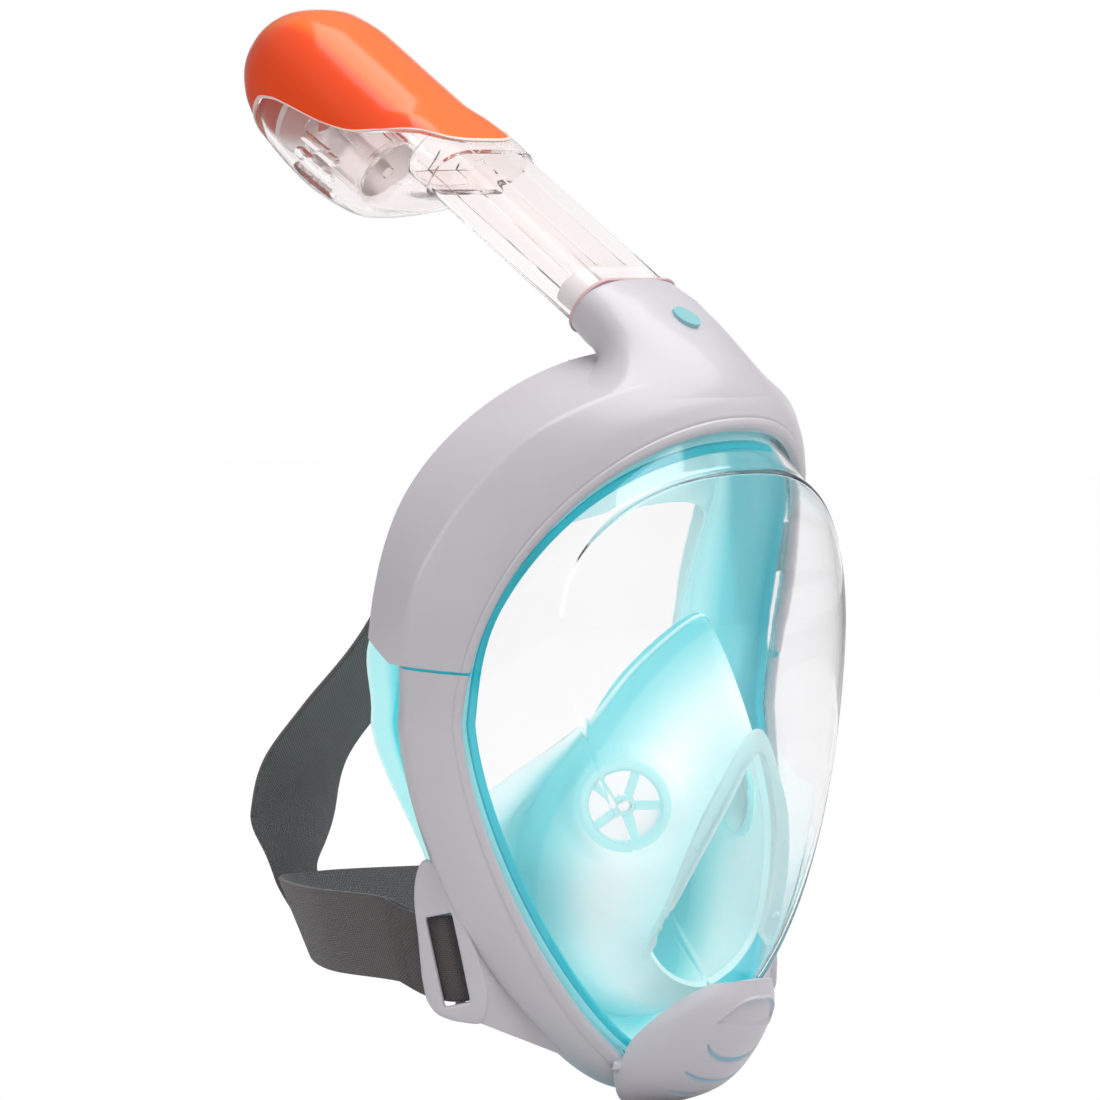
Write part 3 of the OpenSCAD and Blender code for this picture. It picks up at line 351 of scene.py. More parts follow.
frame_white, _, shader = surfaced("frame_white", grain, "#cfcbd2", "#d6d2d8", PLASTIC_RELIEF)
shader.inputs["Coat Weight"].default_value = 0.15
cover_pale, tree, shader = surfaced("cover_pale", grain, "#d0ccd4", "#d8d4db", PLASTIC_RELIEF)
# Painted shade: the grooves and the leaf's upper edge turn pale blue, by the cover's attribute.
plain = shader.inputs["Base Color"].links[0].from_socket
shade_share = add(tree, "Attribute", attribute_name="pale")
shade_mix = add(tree, "Mix", data_type="RGBA")
shade_mix.inputs["B"].default_value = colour("#8fc6dc")
tree.links.new(shade_share.outputs["Fac"], shade_mix.inputs["Factor"])
tree.links.new(plain, shade_mix.inputs["A"])
tree.links.new(shade_mix.outputs["Result"], shader.inputs["Base Color"])
pin_plastic, _, _ = surfaced("pin_plastic", grain, "#b0b0b4", "#bcbcc2", PLASTIC_RELIEF)
inlay_teal, _, _ = surfaced("inlay_teal", milk, "#86c6cd", "#9ad0d5", PLASTIC_RELIEF)
seal_pink, _, _ = surfaced("seal_pink", milk, "#dcb4b4", "#e6c4c2", SEAL_RELIEF)
bead_pale, _, _ = surfaced("bead_pale", milk, "#f3d6cd", "#f8e2da", PLASTIC_RELIEF)
visor_clear = clear_plastic("visor_clear", "#fbfbfc", "#fffeff", "#f4fafa", 1.45)
tube_clear = clear_plastic("tube_clear", "#fdfafa", "#fffdfc", "#f6f2f1", 1.14)
inlet_clear = clear_plastic("inlet_clear", "#fffaf9", "#fffefe", "#fdf8f7", 1.12, 0.2, 0.95)
clamp_clear = soft_silicone("clamp_clear", "#e2f7f7", "#eefbfb", 0.6, "#e6f6f6")
sleeve_grey = soft_silicone("sleeve_grey", "#cdcacc", "#d6d3d5", 0.1, "#d8d4d5")
flap_clear = soft_silicone("flap_clear", "#fafdfd", "#ffffff", 0.95, "#f8fcfc")
float_white = soft_silicone("float_white", "#fdf8f8", "#fffdfd", 0.85, "#fcf8f8")
seat_pale = soft_silicone("seat_pale", "#fbfbfc", "#ffffff", 0.85, "#fbfcfc")
gasket_dark = soft_silicone("gasket_dark", "#f0e9e9", "#f8f3f3", 0.7, "#f6f2f2")
print("finishes:", len(bpy.data.materials))

# %% [markdown]
# The skirt and the cup are dyed right through, so they are deeper where they are thick and
# palest where they are thin; their deepest colour, in the folds and next to the frame, is
# also painted shade. The paleness of each place is kept on the mesh as an attribute, and the
# colour follows it. A faint glow of the same colour is painted light: it brightens the
# silicone as light wandering inside it would, though the silicone is no lamp.

# %% Dyed silicone with painted shade and glow
def dyed_shaded_glowing_silicone(name, stops, share, shadow, painted_glow):
    """Silicone whose colour follows its paleness attribute; the deepest is partly painted shade, and it
    has a painted glow.
    """
    made, tree, shader = start_finish(name)
    effect = place_group(tree, milk)
    pale = add(tree, "Attribute", attribute_name="pale")
    dye_shade_ramp = add(tree, "ValToRGB")
    ramp = dye_shade_ramp.color_ramp
    ramp.elements[0].color = colour(stops[0][1])
    ramp.elements[1].color = colour(stops[-1][1])
    for position, code in stops[1:-1]:
        ramp.elements.new(position).color = colour(code)
    uneven = calc(tree, "MULTIPLY_ADD", effect.outputs["Cloud"], 0.05, pale.outputs["Fac"])
    tree.links.new(uneven, dye_shade_ramp.inputs["Fac"])
    tree.links.new(dye_shade_ramp.outputs["Color"], shader.inputs["Base Color"])
    # Painted glow: the silicone gives off its own colour, though it is no lamp.
    tree.links.new(dye_shade_ramp.outputs["Color"], shader.inputs["Emission Color"])
    shader.inputs["Emission Strength"].default_value = painted_glow
    tree.links.new(effect.outputs["Roughness"], shader.inputs["Roughness"])
    bump(tree, shader, effect.outputs["Height"], SILICONE_RELIEF)
    let_through(tree, shader, share, SILICONE_BEND, shadow)
    return made


# Ramps from deepest to palest; the deepest tones also serve as painted shade.
SKIRT_DYE_AND_SHADE = [(0, "#12a0b2"), (0.1, "#22c2d0"), (0.25, "#80dee5"), (0.6, "#baecee"), (1, "#dcf6f6")]
CUP_DYE_AND_SHADE = [(0, "#62d4dc"), (0.3, "#b8e9ea"), (0.65, "#dcf4f4"), (1, "#f6fcfb")]
skirt_silicone = dyed_shaded_glowing_silicone("skirt_silicone", SKIRT_DYE_AND_SHADE, 0.55, "#d8f5f6", 0.14)
cup_silicone = dyed_shaded_glowing_silicone("cup_silicone", CUP_DYE_AND_SHADE, 0.5, "#e4f8f8", 0.08)
print("dyed:", skirt_silicone.name, cup_silicone.name)

# %% [markdown]
# The cap is glossy and goes from red orange on its flanks to yellow orange over its
# back: the flanks are painted shade and the back painted light, with a crisp step between
# them that draws the ridge. Its tone follows the piece's own coordinates.

# %% Orange cap
cap_orange, tree, shader = start_finish("cap_orange")
effect = place_group(tree, grain, Gloss_Low=0.16, Gloss_High=0.24)
where = add(tree, "TexCoord")
parts = add(tree, "SeparateXYZ")
tree.links.new(where.outputs["Object"], parts.inputs[0])
# Painted shade: past a set distance from the middle the flanks turn a deeper red orange, and the back
# stays the lighter yellow orange.
painted_flank_shade = rescale(tree, calc(tree, "ABSOLUTE", parts.outputs["X"]), 0.0165, 0.0195)
cloud_and_flank_shade = calc(tree, "MULTIPLY_ADD", effect.outputs["Cloud"], 0.12, painted_flank_shade)
tree.links.new(two_tones(tree, cloud_and_flank_shade, "#ff741a", "#ff501a"), shader.inputs["Base Color"])
tree.links.new(effect.outputs["Roughness"], shader.inputs["Roughness"])
bump(tree, shader, effect.outputs["Height"], CAP_RELIEF)
shader.inputs["Specular IOR Level"].default_value = 0.35
shader.inputs["Coat Weight"].default_value = 0.15
shader.inputs["Coat Roughness"].default_value = 0.08

# %% [markdown]
# The webbing is knitted elastic: ribs run along it, and small loops cross them. The
# pattern has to follow the band round its bends, so it reads the band's own UV map,
# which is laid out in metres along and across.

# %% Webbing
knit, ins, outs = new_group("knit_ribs", [("Rib", 0.0011), ("Loop", 0.0009)], ["Shade", "Height"])
parts = add(knit, "SeparateXYZ")
knit.links.new(ins["Place"], parts.inputs[0])
rib_turn = calc(knit, "MULTIPLY", calc(knit, "DIVIDE", parts.outputs["Y"], ins["Rib"]), math.tau)
rib = calc(knit, "SINE", rib_turn)
loop_turn = calc(knit, "MULTIPLY", calc(knit, "DIVIDE", parts.outputs["X"], ins["Loop"]), math.tau)
shift = calc(knit, "MULTIPLY", calc(knit, "SIGN", rib), math.pi/2)
loops = calc(knit, "SINE", calc(knit, "ADD", loop_turn, shift))
lift = calc(knit, "MULTIPLY_ADD", loops, 0.5, calc(knit, "ABSOLUTE", rib))
fuzz = noise(knit, ins["Place"], 1500.0, 2.0)
height = calc(knit, "MULTIPLY_ADD", fuzz, 0.5, lift)
knit.links.new(rescale(knit, height, -0.2, 1.6), outs["Shade"])
knit.links.new(height, outs["Height"])


def webbing(name, dark, light):
    """Grey knitted elastic on a band's UV map."""
    made, tree, shader = start_finish(name)
    lay = add(tree, "UVMap", uv_map="lay")
    effect = add(tree, "Group", node_tree=knit)
    tree.links.new(lay.outputs["UV"], effect.inputs["Place"])
    tree.links.new(two_tones(tree, effect.outputs["Shade"], dark, light), shader.inputs["Base Color"])
    tree.links.new(rescale(tree, effect.outputs["Shade"], 0, 1, 0.95, 0.75), shader.inputs["Roughness"])
    bump(tree, shader, effect.outputs["Height"], KNIT_RELIEF, 0.8)
    shader.inputs["Sheen Weight"].default_value = 0.25
    return made


strap_webbing = webbing("strap_webbing", "#403b3c", "#706a6a")
print("webbing ready")

# %% [markdown]
# ## Shaping helpers
# Nearly every piece here is a sheet that follows a line round the face or along a tube.
# A grid is the natural start: each of its columns is moved onto one section of the piece,
# and where the sheet closes on itself its doubled vertices are merged.


# %% Sheets and pieces
def lerp(a, b, u):
    """A value between a and b."""
    return a + (b - a)*u


def ease(u):
    """A step from 0 to 1 with soft ends."""
    u = min(1.0, max(0.0, u))
    return u*u*(3 - 2*u)


def flipped(p):
    """A point on the other side of the mask."""
    return Vector((-p.x, p.y, p.z))


def curve(a, b, c, f):
    """A point on the curve from a to c that leans towards b."""
    return a*(1 - f)**2 + b*2*f*(1 - f) + c*f*f


def smooth(a, b, c, d, f):
    """A point between b and c on a smooth line through four points."""
    return (2*b + (c - a)*f + (2*a - 5*b + 4*c - d)*f*f + (3*b - a - 3*c + d)*f**3)/2


MERGE, CUT_MERGE, AXIS_MERGE = 0.000004, 0.000001, 0.00002


def sheet(sections, closed, pale=None):
    """A grid with each column on one section, in millimetres; closed sections join their ends.
    The paleness of a column and row is kept as an attribute."""
    cols, rows = len(sections) - 1, len(sections[0]) - (0 if closed else 1)
    bm = bmesh.new()
    layer = bm.verts.layers.float.new("pale") if pale else None
    bmesh.ops.create_grid(bm, x_segments=cols, y_segments=rows, size=1)
    for v in bm.verts:
        col = round((v.co.x + 1)/2*cols)
        row = round((v.co.y + 1)/2*rows) % len(sections[col])
        v.co = Vector(sections[col][row])*MM
        if pale:
            v[layer] = pale(col, row)
    bmesh.ops.remove_doubles(bm, verts=bm.verts, dist=MERGE)
    bmesh.ops.recalc_face_normals(bm, faces=bm.faces)
    return bm


def paled(bm, value):
    """Gives every vertex of a shape the same paleness."""
    layer = bm.verts.layers.float.new("pale")
    for v in bm.verts:
        v[layer] = value


def face_away(bm, middle):
    """Turns an open sheet so that its faces look away from a point."""
    centre = Vector(middle)*MM
    if sum(f.normal.dot(f.calc_center_median() - centre)*f.calc_area() for f in bm.faces) < 0:
        bmesh.ops.reverse_faces(bm, faces=bm.faces)


def cap_holes(bm):
    """Closes every open end with small faces."""
    edges = [e for e in bm.edges if e.is_boundary]
    made = bmesh.ops.holes_fill(bm, edges=edges, sides=0)["faces"]
    bmesh.ops.triangulate(bm, faces=made)
    bmesh.ops.recalc_face_normals(bm, faces=bm.faces)


def rounded(corners, steps=4):
    """A closed line through corners (x, y, cut), each rounded off over its cut."""
    line = []
    for i, (x, y, cut) in enumerate(corners):
        p = Vector((x, y))
        ends = []
        for other in (corners[i - 1], corners[(i + 1) % len(corners)]):
            way = Vector(other[:2]) - p
            ends.append(p + way.normalized()*min(cut, way.length*0.48))
        line += [curve(ends[0], p, ends[1], k/steps) for k in range(steps + 1)]
    return line


def path_point(points, u):
    """A point on a smooth open line through the given points."""
    n, i = len(points), min(int(u), len(points) - 2)
    f, b, c = u - i, Vector(points[i]), Vector(points[i + 1])
    a = Vector(points[i - 1]) if i > 0 else 2*b - c
    d = Vector(points[i + 2]) if i < n - 2 else 2*c - b
    return smooth(a, b, c, d, f)


def join(bm, other):
    """Moves the shapes of another bmesh into this one."""
    spare = bpy.data.meshes.new("spare")
    other.to_mesh(spare)
    other.free()
    bm.from_mesh(spare)
    bpy.data.meshes.remove(spare)


def block(bm, size, place):
    """A block of a size with its middle at a place, in millimetres."""
    verts = bmesh.ops.create_cube(bm, size=1)["verts"]
    bmesh.ops.scale(bm, verts=verts, vec=Vector(size)*MM)
    bmesh.ops.translate(bm, verts=verts, vec=Vector(place)*MM)
    return verts


def soften(bm, verts, offset):
    """Rounds the edges of a block."""
    edges = list({e for v in verts for e in v.link_edges})
    bmesh.ops.bevel(bm, geom=edges, offset=offset*MM, affect="EDGES", segments=2, profile=0.5, material=-1)


def piece(name, bm, finish, body, nodes=(), sharp=35):
    """A finished piece that rides on a body and stands for its CAD nodes."""
    for f in bm.faces:
        f.smooth = True
    for e in bm.edges:
        e.smooth = len(e.link_faces) == 2 and e.calc_face_angle(0) < math.radians(sharp)
    mesh = bpy.data.meshes.new(name)
    bm.to_mesh(mesh)
    bm.free()
    mesh.materials.append(finish)
    made = bpy.data.objects.new(name, mesh)
    scene.collection.objects.link(made)
    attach(made, body)
    if nodes:
        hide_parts(*nodes)
    print(name, len(mesh.polygons), "faces")
    return made


def wall(made, thickness):
    """Gives an open sheet its thickness, inwards."""
    mod = made.modifiers.new("wall", "SOLIDIFY")
    mod.thickness = thickness*MM
    mod.offset = -1
    mod.use_even_offset = True


# %% [markdown]
# ## The rim
# The window meets the frame on one egg-shaped line that leans and wraps back round the
# face. Frame, window, skirt and cup all start from it, so it is written once: an angle
# of 0 is the temple at +x, 90 the brow and -90 the chin. Left and right are meant as in
# the photograph, so left is the side at -x.


# %% Rim and bevel
def powered(v, e):
    """A power that keeps its sign."""
    return math.copysign(abs(v)**e, v)


def egg(t, half_w, up, down, up_power, down_power):
    """A point of an egg with its own height and roundness above and below."""
    c, s = math.cos(math.radians(t)), math.sin(math.radians(t))
    height, power = (up, up_power) if s >= 0 else (down, down_power)
    return Vector((half_w*powered(c, 2/power), height*powered(s, 2/power)))


RIM_HALF_W, RIM_UP, RIM_DOWN = 77.5, 84, 107
RIM_FRONT, RIM_LEAN = -80, 24
BROW_WRAP, CHIN_WRAP = 33, 10
TEMPLE_OUT, HOOD_OUT, BROW_OUT, CHIN_OUT = 11, 22, 17, 3
TEMPLE_BACK, BROW_BACK, CHIN_BACK = 13, 9, 12


def rim_xz(t):
    """The rim as it is seen from the front."""
    return egg(t, RIM_HALF_W, RIM_UP, RIM_DOWN, 2.2, 1.85)


def rim_y(x, z):
    """The rim leans back to the chin and wraps back at its sides."""
    wrap = BROW_WRAP if z >= 0 else lerp(BROW_WRAP, CHIN_WRAP, min(1, -z/RIM_DOWN))
    return RIM_FRONT + RIM_LEAN*(RIM_UP - z)/(RIM_UP + RIM_DOWN) + wrap*(x/RIM_HALF_W)**2


def rim_point(t, out, back):
    """A point at the rim's angle, moved outwards and back."""
    p = rim_xz(t)
    d = rim_xz(t + 0.5) - rim_xz(t - 0.5)
    q = p + out*Vector((d.y, -d.x)).normalized()
    return Vector((q.x, rim_y(p.x, p.y) + back, q.y))


def chin_share(t):
    """One at the chin and zero from the jaw upwards."""
    return ease((-math.sin(math.radians(t)) - 0.5)/0.5)


def bevel(t):
    """Outward and backward run of the frame's front bevel."""
    s = math.sin(math.radians(t))
    if s >= 0:
        out = lerp(lerp(TEMPLE_OUT, HOOD_OUT, ease(s/0.4)), BROW_OUT, ease((s - 0.75)/0.25))
        return Vector((out, lerp(TEMPLE_BACK, BROW_BACK, ease((s - 0.55)/0.45))))
    chin = chin_share(t)
    return Vector((lerp(TEMPLE_OUT, CHIN_OUT, chin), lerp(TEMPLE_BACK, CHIN_BACK, chin)))


def on_bevel(t, along, lift):
    """A place along the bevel and above its face, as outward and back."""
    e = bevel(t).normalized()
    return Vector((along*e.x + lift*e.y, along*e.y - lift*e.x))


print("crease over the brow at", [round(c, 1) for c in rim_point(90, *bevel(90))])

# %% [markdown]
# ## Frame
# The frame is one moulded section swept round the rim: a thin lip, a swollen bevel, a
# crease and a wall behind it. The section is drawn with rounded corners, swept as a
# closed sheet and cut at the seam. The hood takes the upper half, and the band with the
# strap's ears the lower half.


# %% Frame section
FRAME_WALL, BEVEL_SWELL, BAND_DEPTH = 2.4, 2.0, 5.0
HOOD_SIDE_OUT, HOOD_TOP_OUT, HOOD_SIDE_DEPTH, HOOD_TOP_DEPTH = 16.5, 22.5, 11, 32


def frame_section(t, flare, depth):
    """The section at an angle; its wall runs outwards by the flare and back by the depth."""
    b, w = bevel(t), FRAME_WALL
    n, e = b.length, b.normalized()
    lip = [(0, -w, 0.3), (0, 0, 0.5), (0.9, 0.8, 0.4), (2.4, 1.15, 0.5), (2.9, 0.75, 0.2), (3.5, 1.2, 0.3)]
    keys = [(*on_bevel(t, along, lift), cut) for along, lift, cut in lip]
    keys += [(*on_bevel(t, n*0.5, BEVEL_SWELL), n*0.3), (b.x, b.y, 1.5), (b.x + flare, b.y + depth, 0.9),
             (b.x + flare - w, b.y + depth, 0.9), (*on_bevel(t, n - w*(1 - e.y)/e.x, -w), 1.0)]
    return [rim_point(t, q.x, q.y) for q in rounded(keys)]


def hood_reach(t):
    """From the crease to the hood's rear edge, outwards and back."""
    s = ease(max(0.0, math.sin(math.radians(t))))
    out = lerp(HOOD_SIDE_OUT, HOOD_TOP_OUT, s) - bevel(t).x
    return Vector((out, lerp(HOOD_SIDE_DEPTH, HOOD_TOP_DEPTH, s)))


def cut_below(bm, place, up):
    """Removes what lies below a plane."""
    bmesh.ops.bisect_plane(bm, geom=bm.verts[:] + bm.edges[:] + bm.faces[:], dist=CUT_MERGE,
                           plane_co=Vector(place)*MM, plane_no=up, clear_inner=True)


def seam_plane(turn):
    """The upward normal of a cut that rises to the rear by some degrees."""
    return Vector((0, -math.sin(math.radians(turn)), math.cos(math.radians(turn))))


SEAM, SPARE = Vector((0, rim_y(RIM_HALF_W, 0) + 15, 17.5)), 13
SEAM_RISE, TAIL_RISE = 9, 45
HOOD_SEAM, BAND_SEAM = SEAM + Vector((0, 0, 0.25)), SEAM - Vector((0, 0, 0.65))
HOOD_COLS, BAND_COLS = 150, 160
turns = [lerp(-SPARE, 180 + SPARE, i/HOOD_COLS) for i in range(HOOD_COLS + 1)]
hood = sheet([frame_section(t, *hood_reach(t)) for t in turns], True)
cut_below(hood, HOOD_SEAM, seam_plane(SEAM_RISE))
cut_below(hood, HOOD_SEAM, seam_plane(TAIL_RISE))
cap_holes(hood)
print("hood sheet", len(hood.faces), "faces")

# %% [markdown]
# The socket grows out of the hood like a neck: its front runs into the bevel without an
# edge. Each column of the neck is a curve that leaves the collar along the tube
# and lands flat on the hood, so the two sheets share their slope where they meet.

# %% Socket neck
LEAN = math.radians(54)
COLLAR = Vector((0, -36.5, 118.9))
tube_x = Vector((1, 0, 0))
tube_y = Vector((0, math.cos(LEAN), -math.sin(LEAN)))
tube_z = Vector((0, math.sin(LEAN), math.cos(LEAN)))
SOCKET_HALF_W, SOCKET_HALF_T, SOCKET_POWER = 23.85, 10.35, 2.6
BORE_W, BORE_T, BORE_DEPTH = 43.7, 16.7, 22
NECK_TOP, NECK_SLANT, NECK_SPREAD, NECK_ROWS = -11, 3.5, 1.6, 14
FOOT_ANGLE, FOOT_MID, FOOT_REAR, FOOT_FRONT = 25, 1.2, 0.72, 0.98
FRONT_SINK, REAR_SINK = 0.5, 0.25


def on_tube(x, y, z):
    """A place given across the tube, to its rear and along it."""
    return COLLAR + x*tube_x + y*tube_y + z*tube_z


def oval(a, half_w, front, rear, z, power):
    """A point of a rounded section across the tube."""
    c, s = math.cos(math.radians(a)), math.sin(math.radians(a))
    y = (rear - front)/2 + (rear + front)/2*powered(s, 2/power)
    return on_tube(half_w*powered(c, 2/power), y, z)


def stadium(u, w, t):
    """A point of a flat oval at a share of its way round, from its +x end."""
    r, run = t/2, w - t
    d = (u % 1)*(2*run + math.tau*r)
    for centre, start, kind in ((run/2, 0, "arc"), (0, 90, "run"), (-run/2, 90, "half"), (0, 270, "run"),
                                (run/2, 270, "arc")):
        length = run if kind == "run" else math.pi*r*(1 if kind == "half" else 0.5)
        if d <= length or (kind == "arc" and start == 270):
            break
        d -= length
    if kind == "run":
        side = 1 if start == 90 else -1
        return side*(run/2 - d), side*r
    a = math.radians(start) + d/r
    return centre + r*math.cos(a), r*math.sin(a)


def hood_skin(t, s):
    """A point just under the hood's outer face: s is 0 at the rim, 1 at the crease, 2 at the rear."""
    if s <= 1:
        lift = BEVEL_SWELL*(1 - (2*s - 1)**2) - FRONT_SINK
        return rim_point(t, *on_bevel(t, s*bevel(t).length, lift))
    sink = Vector((REAR_SINK, 0))*min(1, 4*(s - 1))
    return rim_point(t, *(bevel(t) + hood_reach(t)*(s - 1) - sink))


def neck_column(a):
    """From the hood's skin up to the collar and down inside the bore."""
    c, s = math.cos(math.radians(a)), math.sin(math.radians(a))
    top_z = NECK_TOP + NECK_SLANT*s
    spread = NECK_SPREAD*ease(-top_z/18)
    top = oval(a, SOCKET_HALF_W + spread, SOCKET_HALF_T + 0.2, SOCKET_HALF_T + 0.3, top_z, SOCKET_POWER)
    t, foot = 90 - FOOT_ANGLE*c, FOOT_MID + (FOOT_REAR if s > 0 else FOOT_FRONT)*s
    base = hood_skin(t, foot)
    slide = (hood_skin(t - 0.6*c, foot + 0.02*s) - base).normalized()
    reach = (base - top).length
    start, end = -tube_z*reach*1.1, slide*reach
    line = []
    for k in range(NECK_ROWS + 1):
        f = k/NECK_ROWS
        line.append(base*(2*f**3 - 3*f**2 + 1) - end*(f**3 - 2*f**2 + f)
                    + top*(3*f**2 - 2*f**3) - start*(f**3 - f**2))
    collar = [(top_z*0.7, spread*0.6), (top_z*0.4, spread*0.3), (-1.6, 0), (-0.8, -0.1), (-0.25, -0.35),
              (0, -0.9)]
    for z, grow in collar:
        half_t = SOCKET_HALF_T + grow
        line.append(oval(a, SOCKET_HALF_W + grow, half_t, half_t, z, SOCKET_POWER))
    for z, chamfer in ((0, 0.4), (-0.3, 0), (-10, 0), (-BORE_DEPTH, 0)):
        x, y = stadium(a/360, BORE_W + chamfer, BORE_T + chamfer)
        line.append(on_tube(x, y, z))
    return line


neck = sheet([neck_column(a*4) for a in range(91)], False)
face_away(neck, on_tube(0, 0, -5))
join(hood, neck)
piece("hood", hood, frame_white, "mask", ["upper_frame"])

# %% [markdown]
# Each ear is a flat plate behind the crease with a slanted slot. Its section is swept
# round the slot: along the front face to the outline, over the edge, and back behind. A
# web joins it to the crease, two lugs behind it hold the strap's pin, and the other ear is
# its mirror image.

# %% Lower band with the strap's ears
EAR = Vector((-73.51, -34.20, -64))
ear_u, ear_v, ear_n = Vector((-0.5, 0.866, 0)), Vector((0, 0, 1)), Vector((0.866, 0.5, 0))
OUTLINE = [(14.4, 15), (13.3, 4), (12.2, -8), (10.8, -15), (8, -19), (3.4, -20.8), (-6, -22), (-7, -12),
           (-4, -2), (2, 12), (6, 21), (11, 28), (13.6, 23)]
WEB_PLATE = [(9, 24), (4, 14), (0, 4), (-4, -4), (-5, -12), (-4.5, -21.2)]
WEB_CREASE = [(angle, 0) for angle in (-20, -27, -34, -42, -54, -66)]
PIN_U, SLOT_MID, EAR_TILT = 4.5, -3.3, math.radians(12)
SLOT_HALF_W, SLOT_HALF_H, EAR_HALF_T = 3.8, 13.0, 1.6
LUG, LUG_PLACE = (5, 2.2, 8.1), 14.4
EAR_COLS, EAR_SMOOTHINGS, WEB_COLS, WEB_ROWS, WEB_T = 144, 5, 30, 4, 2.6


def on_ear(u, v, n):
    """A place along the left ear's plate, up it and inwards from it."""
    return EAR + u*ear_u + v*ear_v + n*ear_n


def outline_reach(angle):
    """Distance from the slot's middle to the ear's outline."""
    way = Vector((math.cos(angle), math.sin(angle)))
    best = 0.0
    for i in range(len(OUTLINE)):
        a, b = (Vector(OUTLINE[k]) - Vector((PIN_U, SLOT_MID)) for k in (i - 1, i))
        det = way.x*(a.y - b.y) - way.y*(a.x - b.x)
        if abs(det) > 1e-9:
            d = (a.x*(a.y - b.y) - a.y*(a.x - b.x))/det
            f = (way.x*a.y - way.y*a.x)/det
            if d > 0 and -1e-6 <= f <= 1 + 1e-6:
                best = max(best, d)
    return best


reaches = [outline_reach(math.tau*k/EAR_COLS) for k in range(EAR_COLS)]
for _ in range(EAR_SMOOTHINGS):
    reaches = [(reaches[k - 1] + 2*reaches[k] + reaches[(k + 1) % EAR_COLS])/4 for k in range(EAR_COLS)]


def ear_section(k):
    """A closed section from the slot to the outline."""
    angle = math.tau*k/EAR_COLS
    way = Vector((math.cos(angle), math.sin(angle)))
    across, up = abs(math.cos(angle + EAR_TILT)), abs(math.sin(angle + EAR_TILT))
    slot = way*min(SLOT_HALF_W/max(across, 0.01), SLOT_HALF_H/max(up, 0.01))
    edge = way*reaches[k % EAR_COLS]
    run = (edge - slot).length
    out = (edge - slot).normalized()
    half = EAR_HALF_T
    keys = [(0.0, -half, 0.9), (run, -half, 1.2), (run, half, 0.9), (0.0, half, 0.9)]
    line = []
    for q in rounded(keys, 3):
        p = slot + out*q.x
        line.append(on_ear(PIN_U + p.x, SLOT_MID + p.y, q.y))
    return line


def web_section(u):
    """A strip between the ear's front edge and the crease."""
    q, t = path_point(WEB_PLATE, u), path_point(WEB_CREASE, u).x
    crease = flipped(rim_point(t, bevel(t).x - 1.0, bevel(t).y))
    plate = on_ear(q.x, q.y, -1.55)
    outer = [lerp(crease, plate, k/WEB_ROWS) for k in range(WEB_ROWS + 1)]
    return outer + [p + ear_n*WEB_T for p in reversed(outer)]


turns = [lerp(-180 - SPARE, SPARE, i/BAND_COLS) for i in range(BAND_COLS + 1)]
band = sheet([frame_section(t, -lerp(4, 0.6, chin_share(t)), BAND_DEPTH) for t in turns], True)
cut_below(band, BAND_SEAM, -seam_plane(SEAM_RISE))
cap_holes(band)
ear = sheet([ear_section(k) for k in range(EAR_COLS + 1)], True)
ear_web = sheet([web_section((len(WEB_PLATE) - 1)*k/WEB_COLS) for k in range(WEB_COLS + 1)], True)
cap_holes(ear_web)
join(ear, ear_web)
for up in (-1, 1):
    lug = block(ear, LUG, (0, up*LUG_PLACE, LUG[2]/2))
    bmesh.ops.rotate(ear, verts=lug, matrix=Matrix.Rotation(-EAR_TILT, 3, "Z"))
    bmesh.ops.translate(ear, verts=lug, vec=Vector((PIN_U, SLOT_MID, 0))*MM)
    local = Matrix((ear_u, ear_v, ear_n)).transposed().to_4x4()
    bmesh.ops.transform(ear, verts=lug, matrix=Matrix.Translation(EAR*MM) @ local)
    soften(ear, lug, 0.5)
bmesh.ops.mirror(ear, geom=ear.verts[:] + ear.edges[:] + ear.faces[:], axis="X", merge_dist=0.0)
bmesh.ops.recalc_face_normals(ear, faces=ear.faces)
join(band, ear)
piece("lower_band", band, frame_white, "mask", ["lower_frame"])

# %% [markdown]
# ## Window
# The window is one clear shell: a flange under the frame's lip, a wall that comes
# forward, a rounded edge and a swept front that closes in its middle. It is swept round
# the face and gets its thickness from a Solidify modifier, because clear plastic only
# looks right with both of its faces.


# %% Window
FRONT_HALF_W, FRONT_UP, FRONT_DOWN, FRONT_MID = 70, 46, 110, 26
FRONT_Y = -91
WINDOW_WALL, EDGE_ROWS = 2.2, 7


def front_outline(t):
    """The edge of the swept front; at the sides its points are moved down."""
    c = math.cos(math.radians(t))
    turned = t - 16*math.copysign(1, c)*c*c
    return egg(turned, FRONT_HALF_W, FRONT_UP, FRONT_DOWN, 2.3, 1.4) + Vector((0, FRONT_MID))


def front_y(x, z):
    """The front falls back above and below its middle and towards its sides."""
    above, below = (z - FRONT_MID)/FRONT_UP, (FRONT_MID - z)/FRONT_DOWN
    drop = 9*above**2 if z >= FRONT_MID else 14*below**1.5
    return FRONT_Y + drop + 24.5*(x/FRONT_HALF_W)**2


def front_point(t, scale):
    """A point of the swept front at a share of the way from its middle to its edge."""
    p = front_outline(t)
    x, z = p.x*scale, FRONT_MID + (p.y - FRONT_MID)*scale
    return Vector((x, front_y(x, z), z))


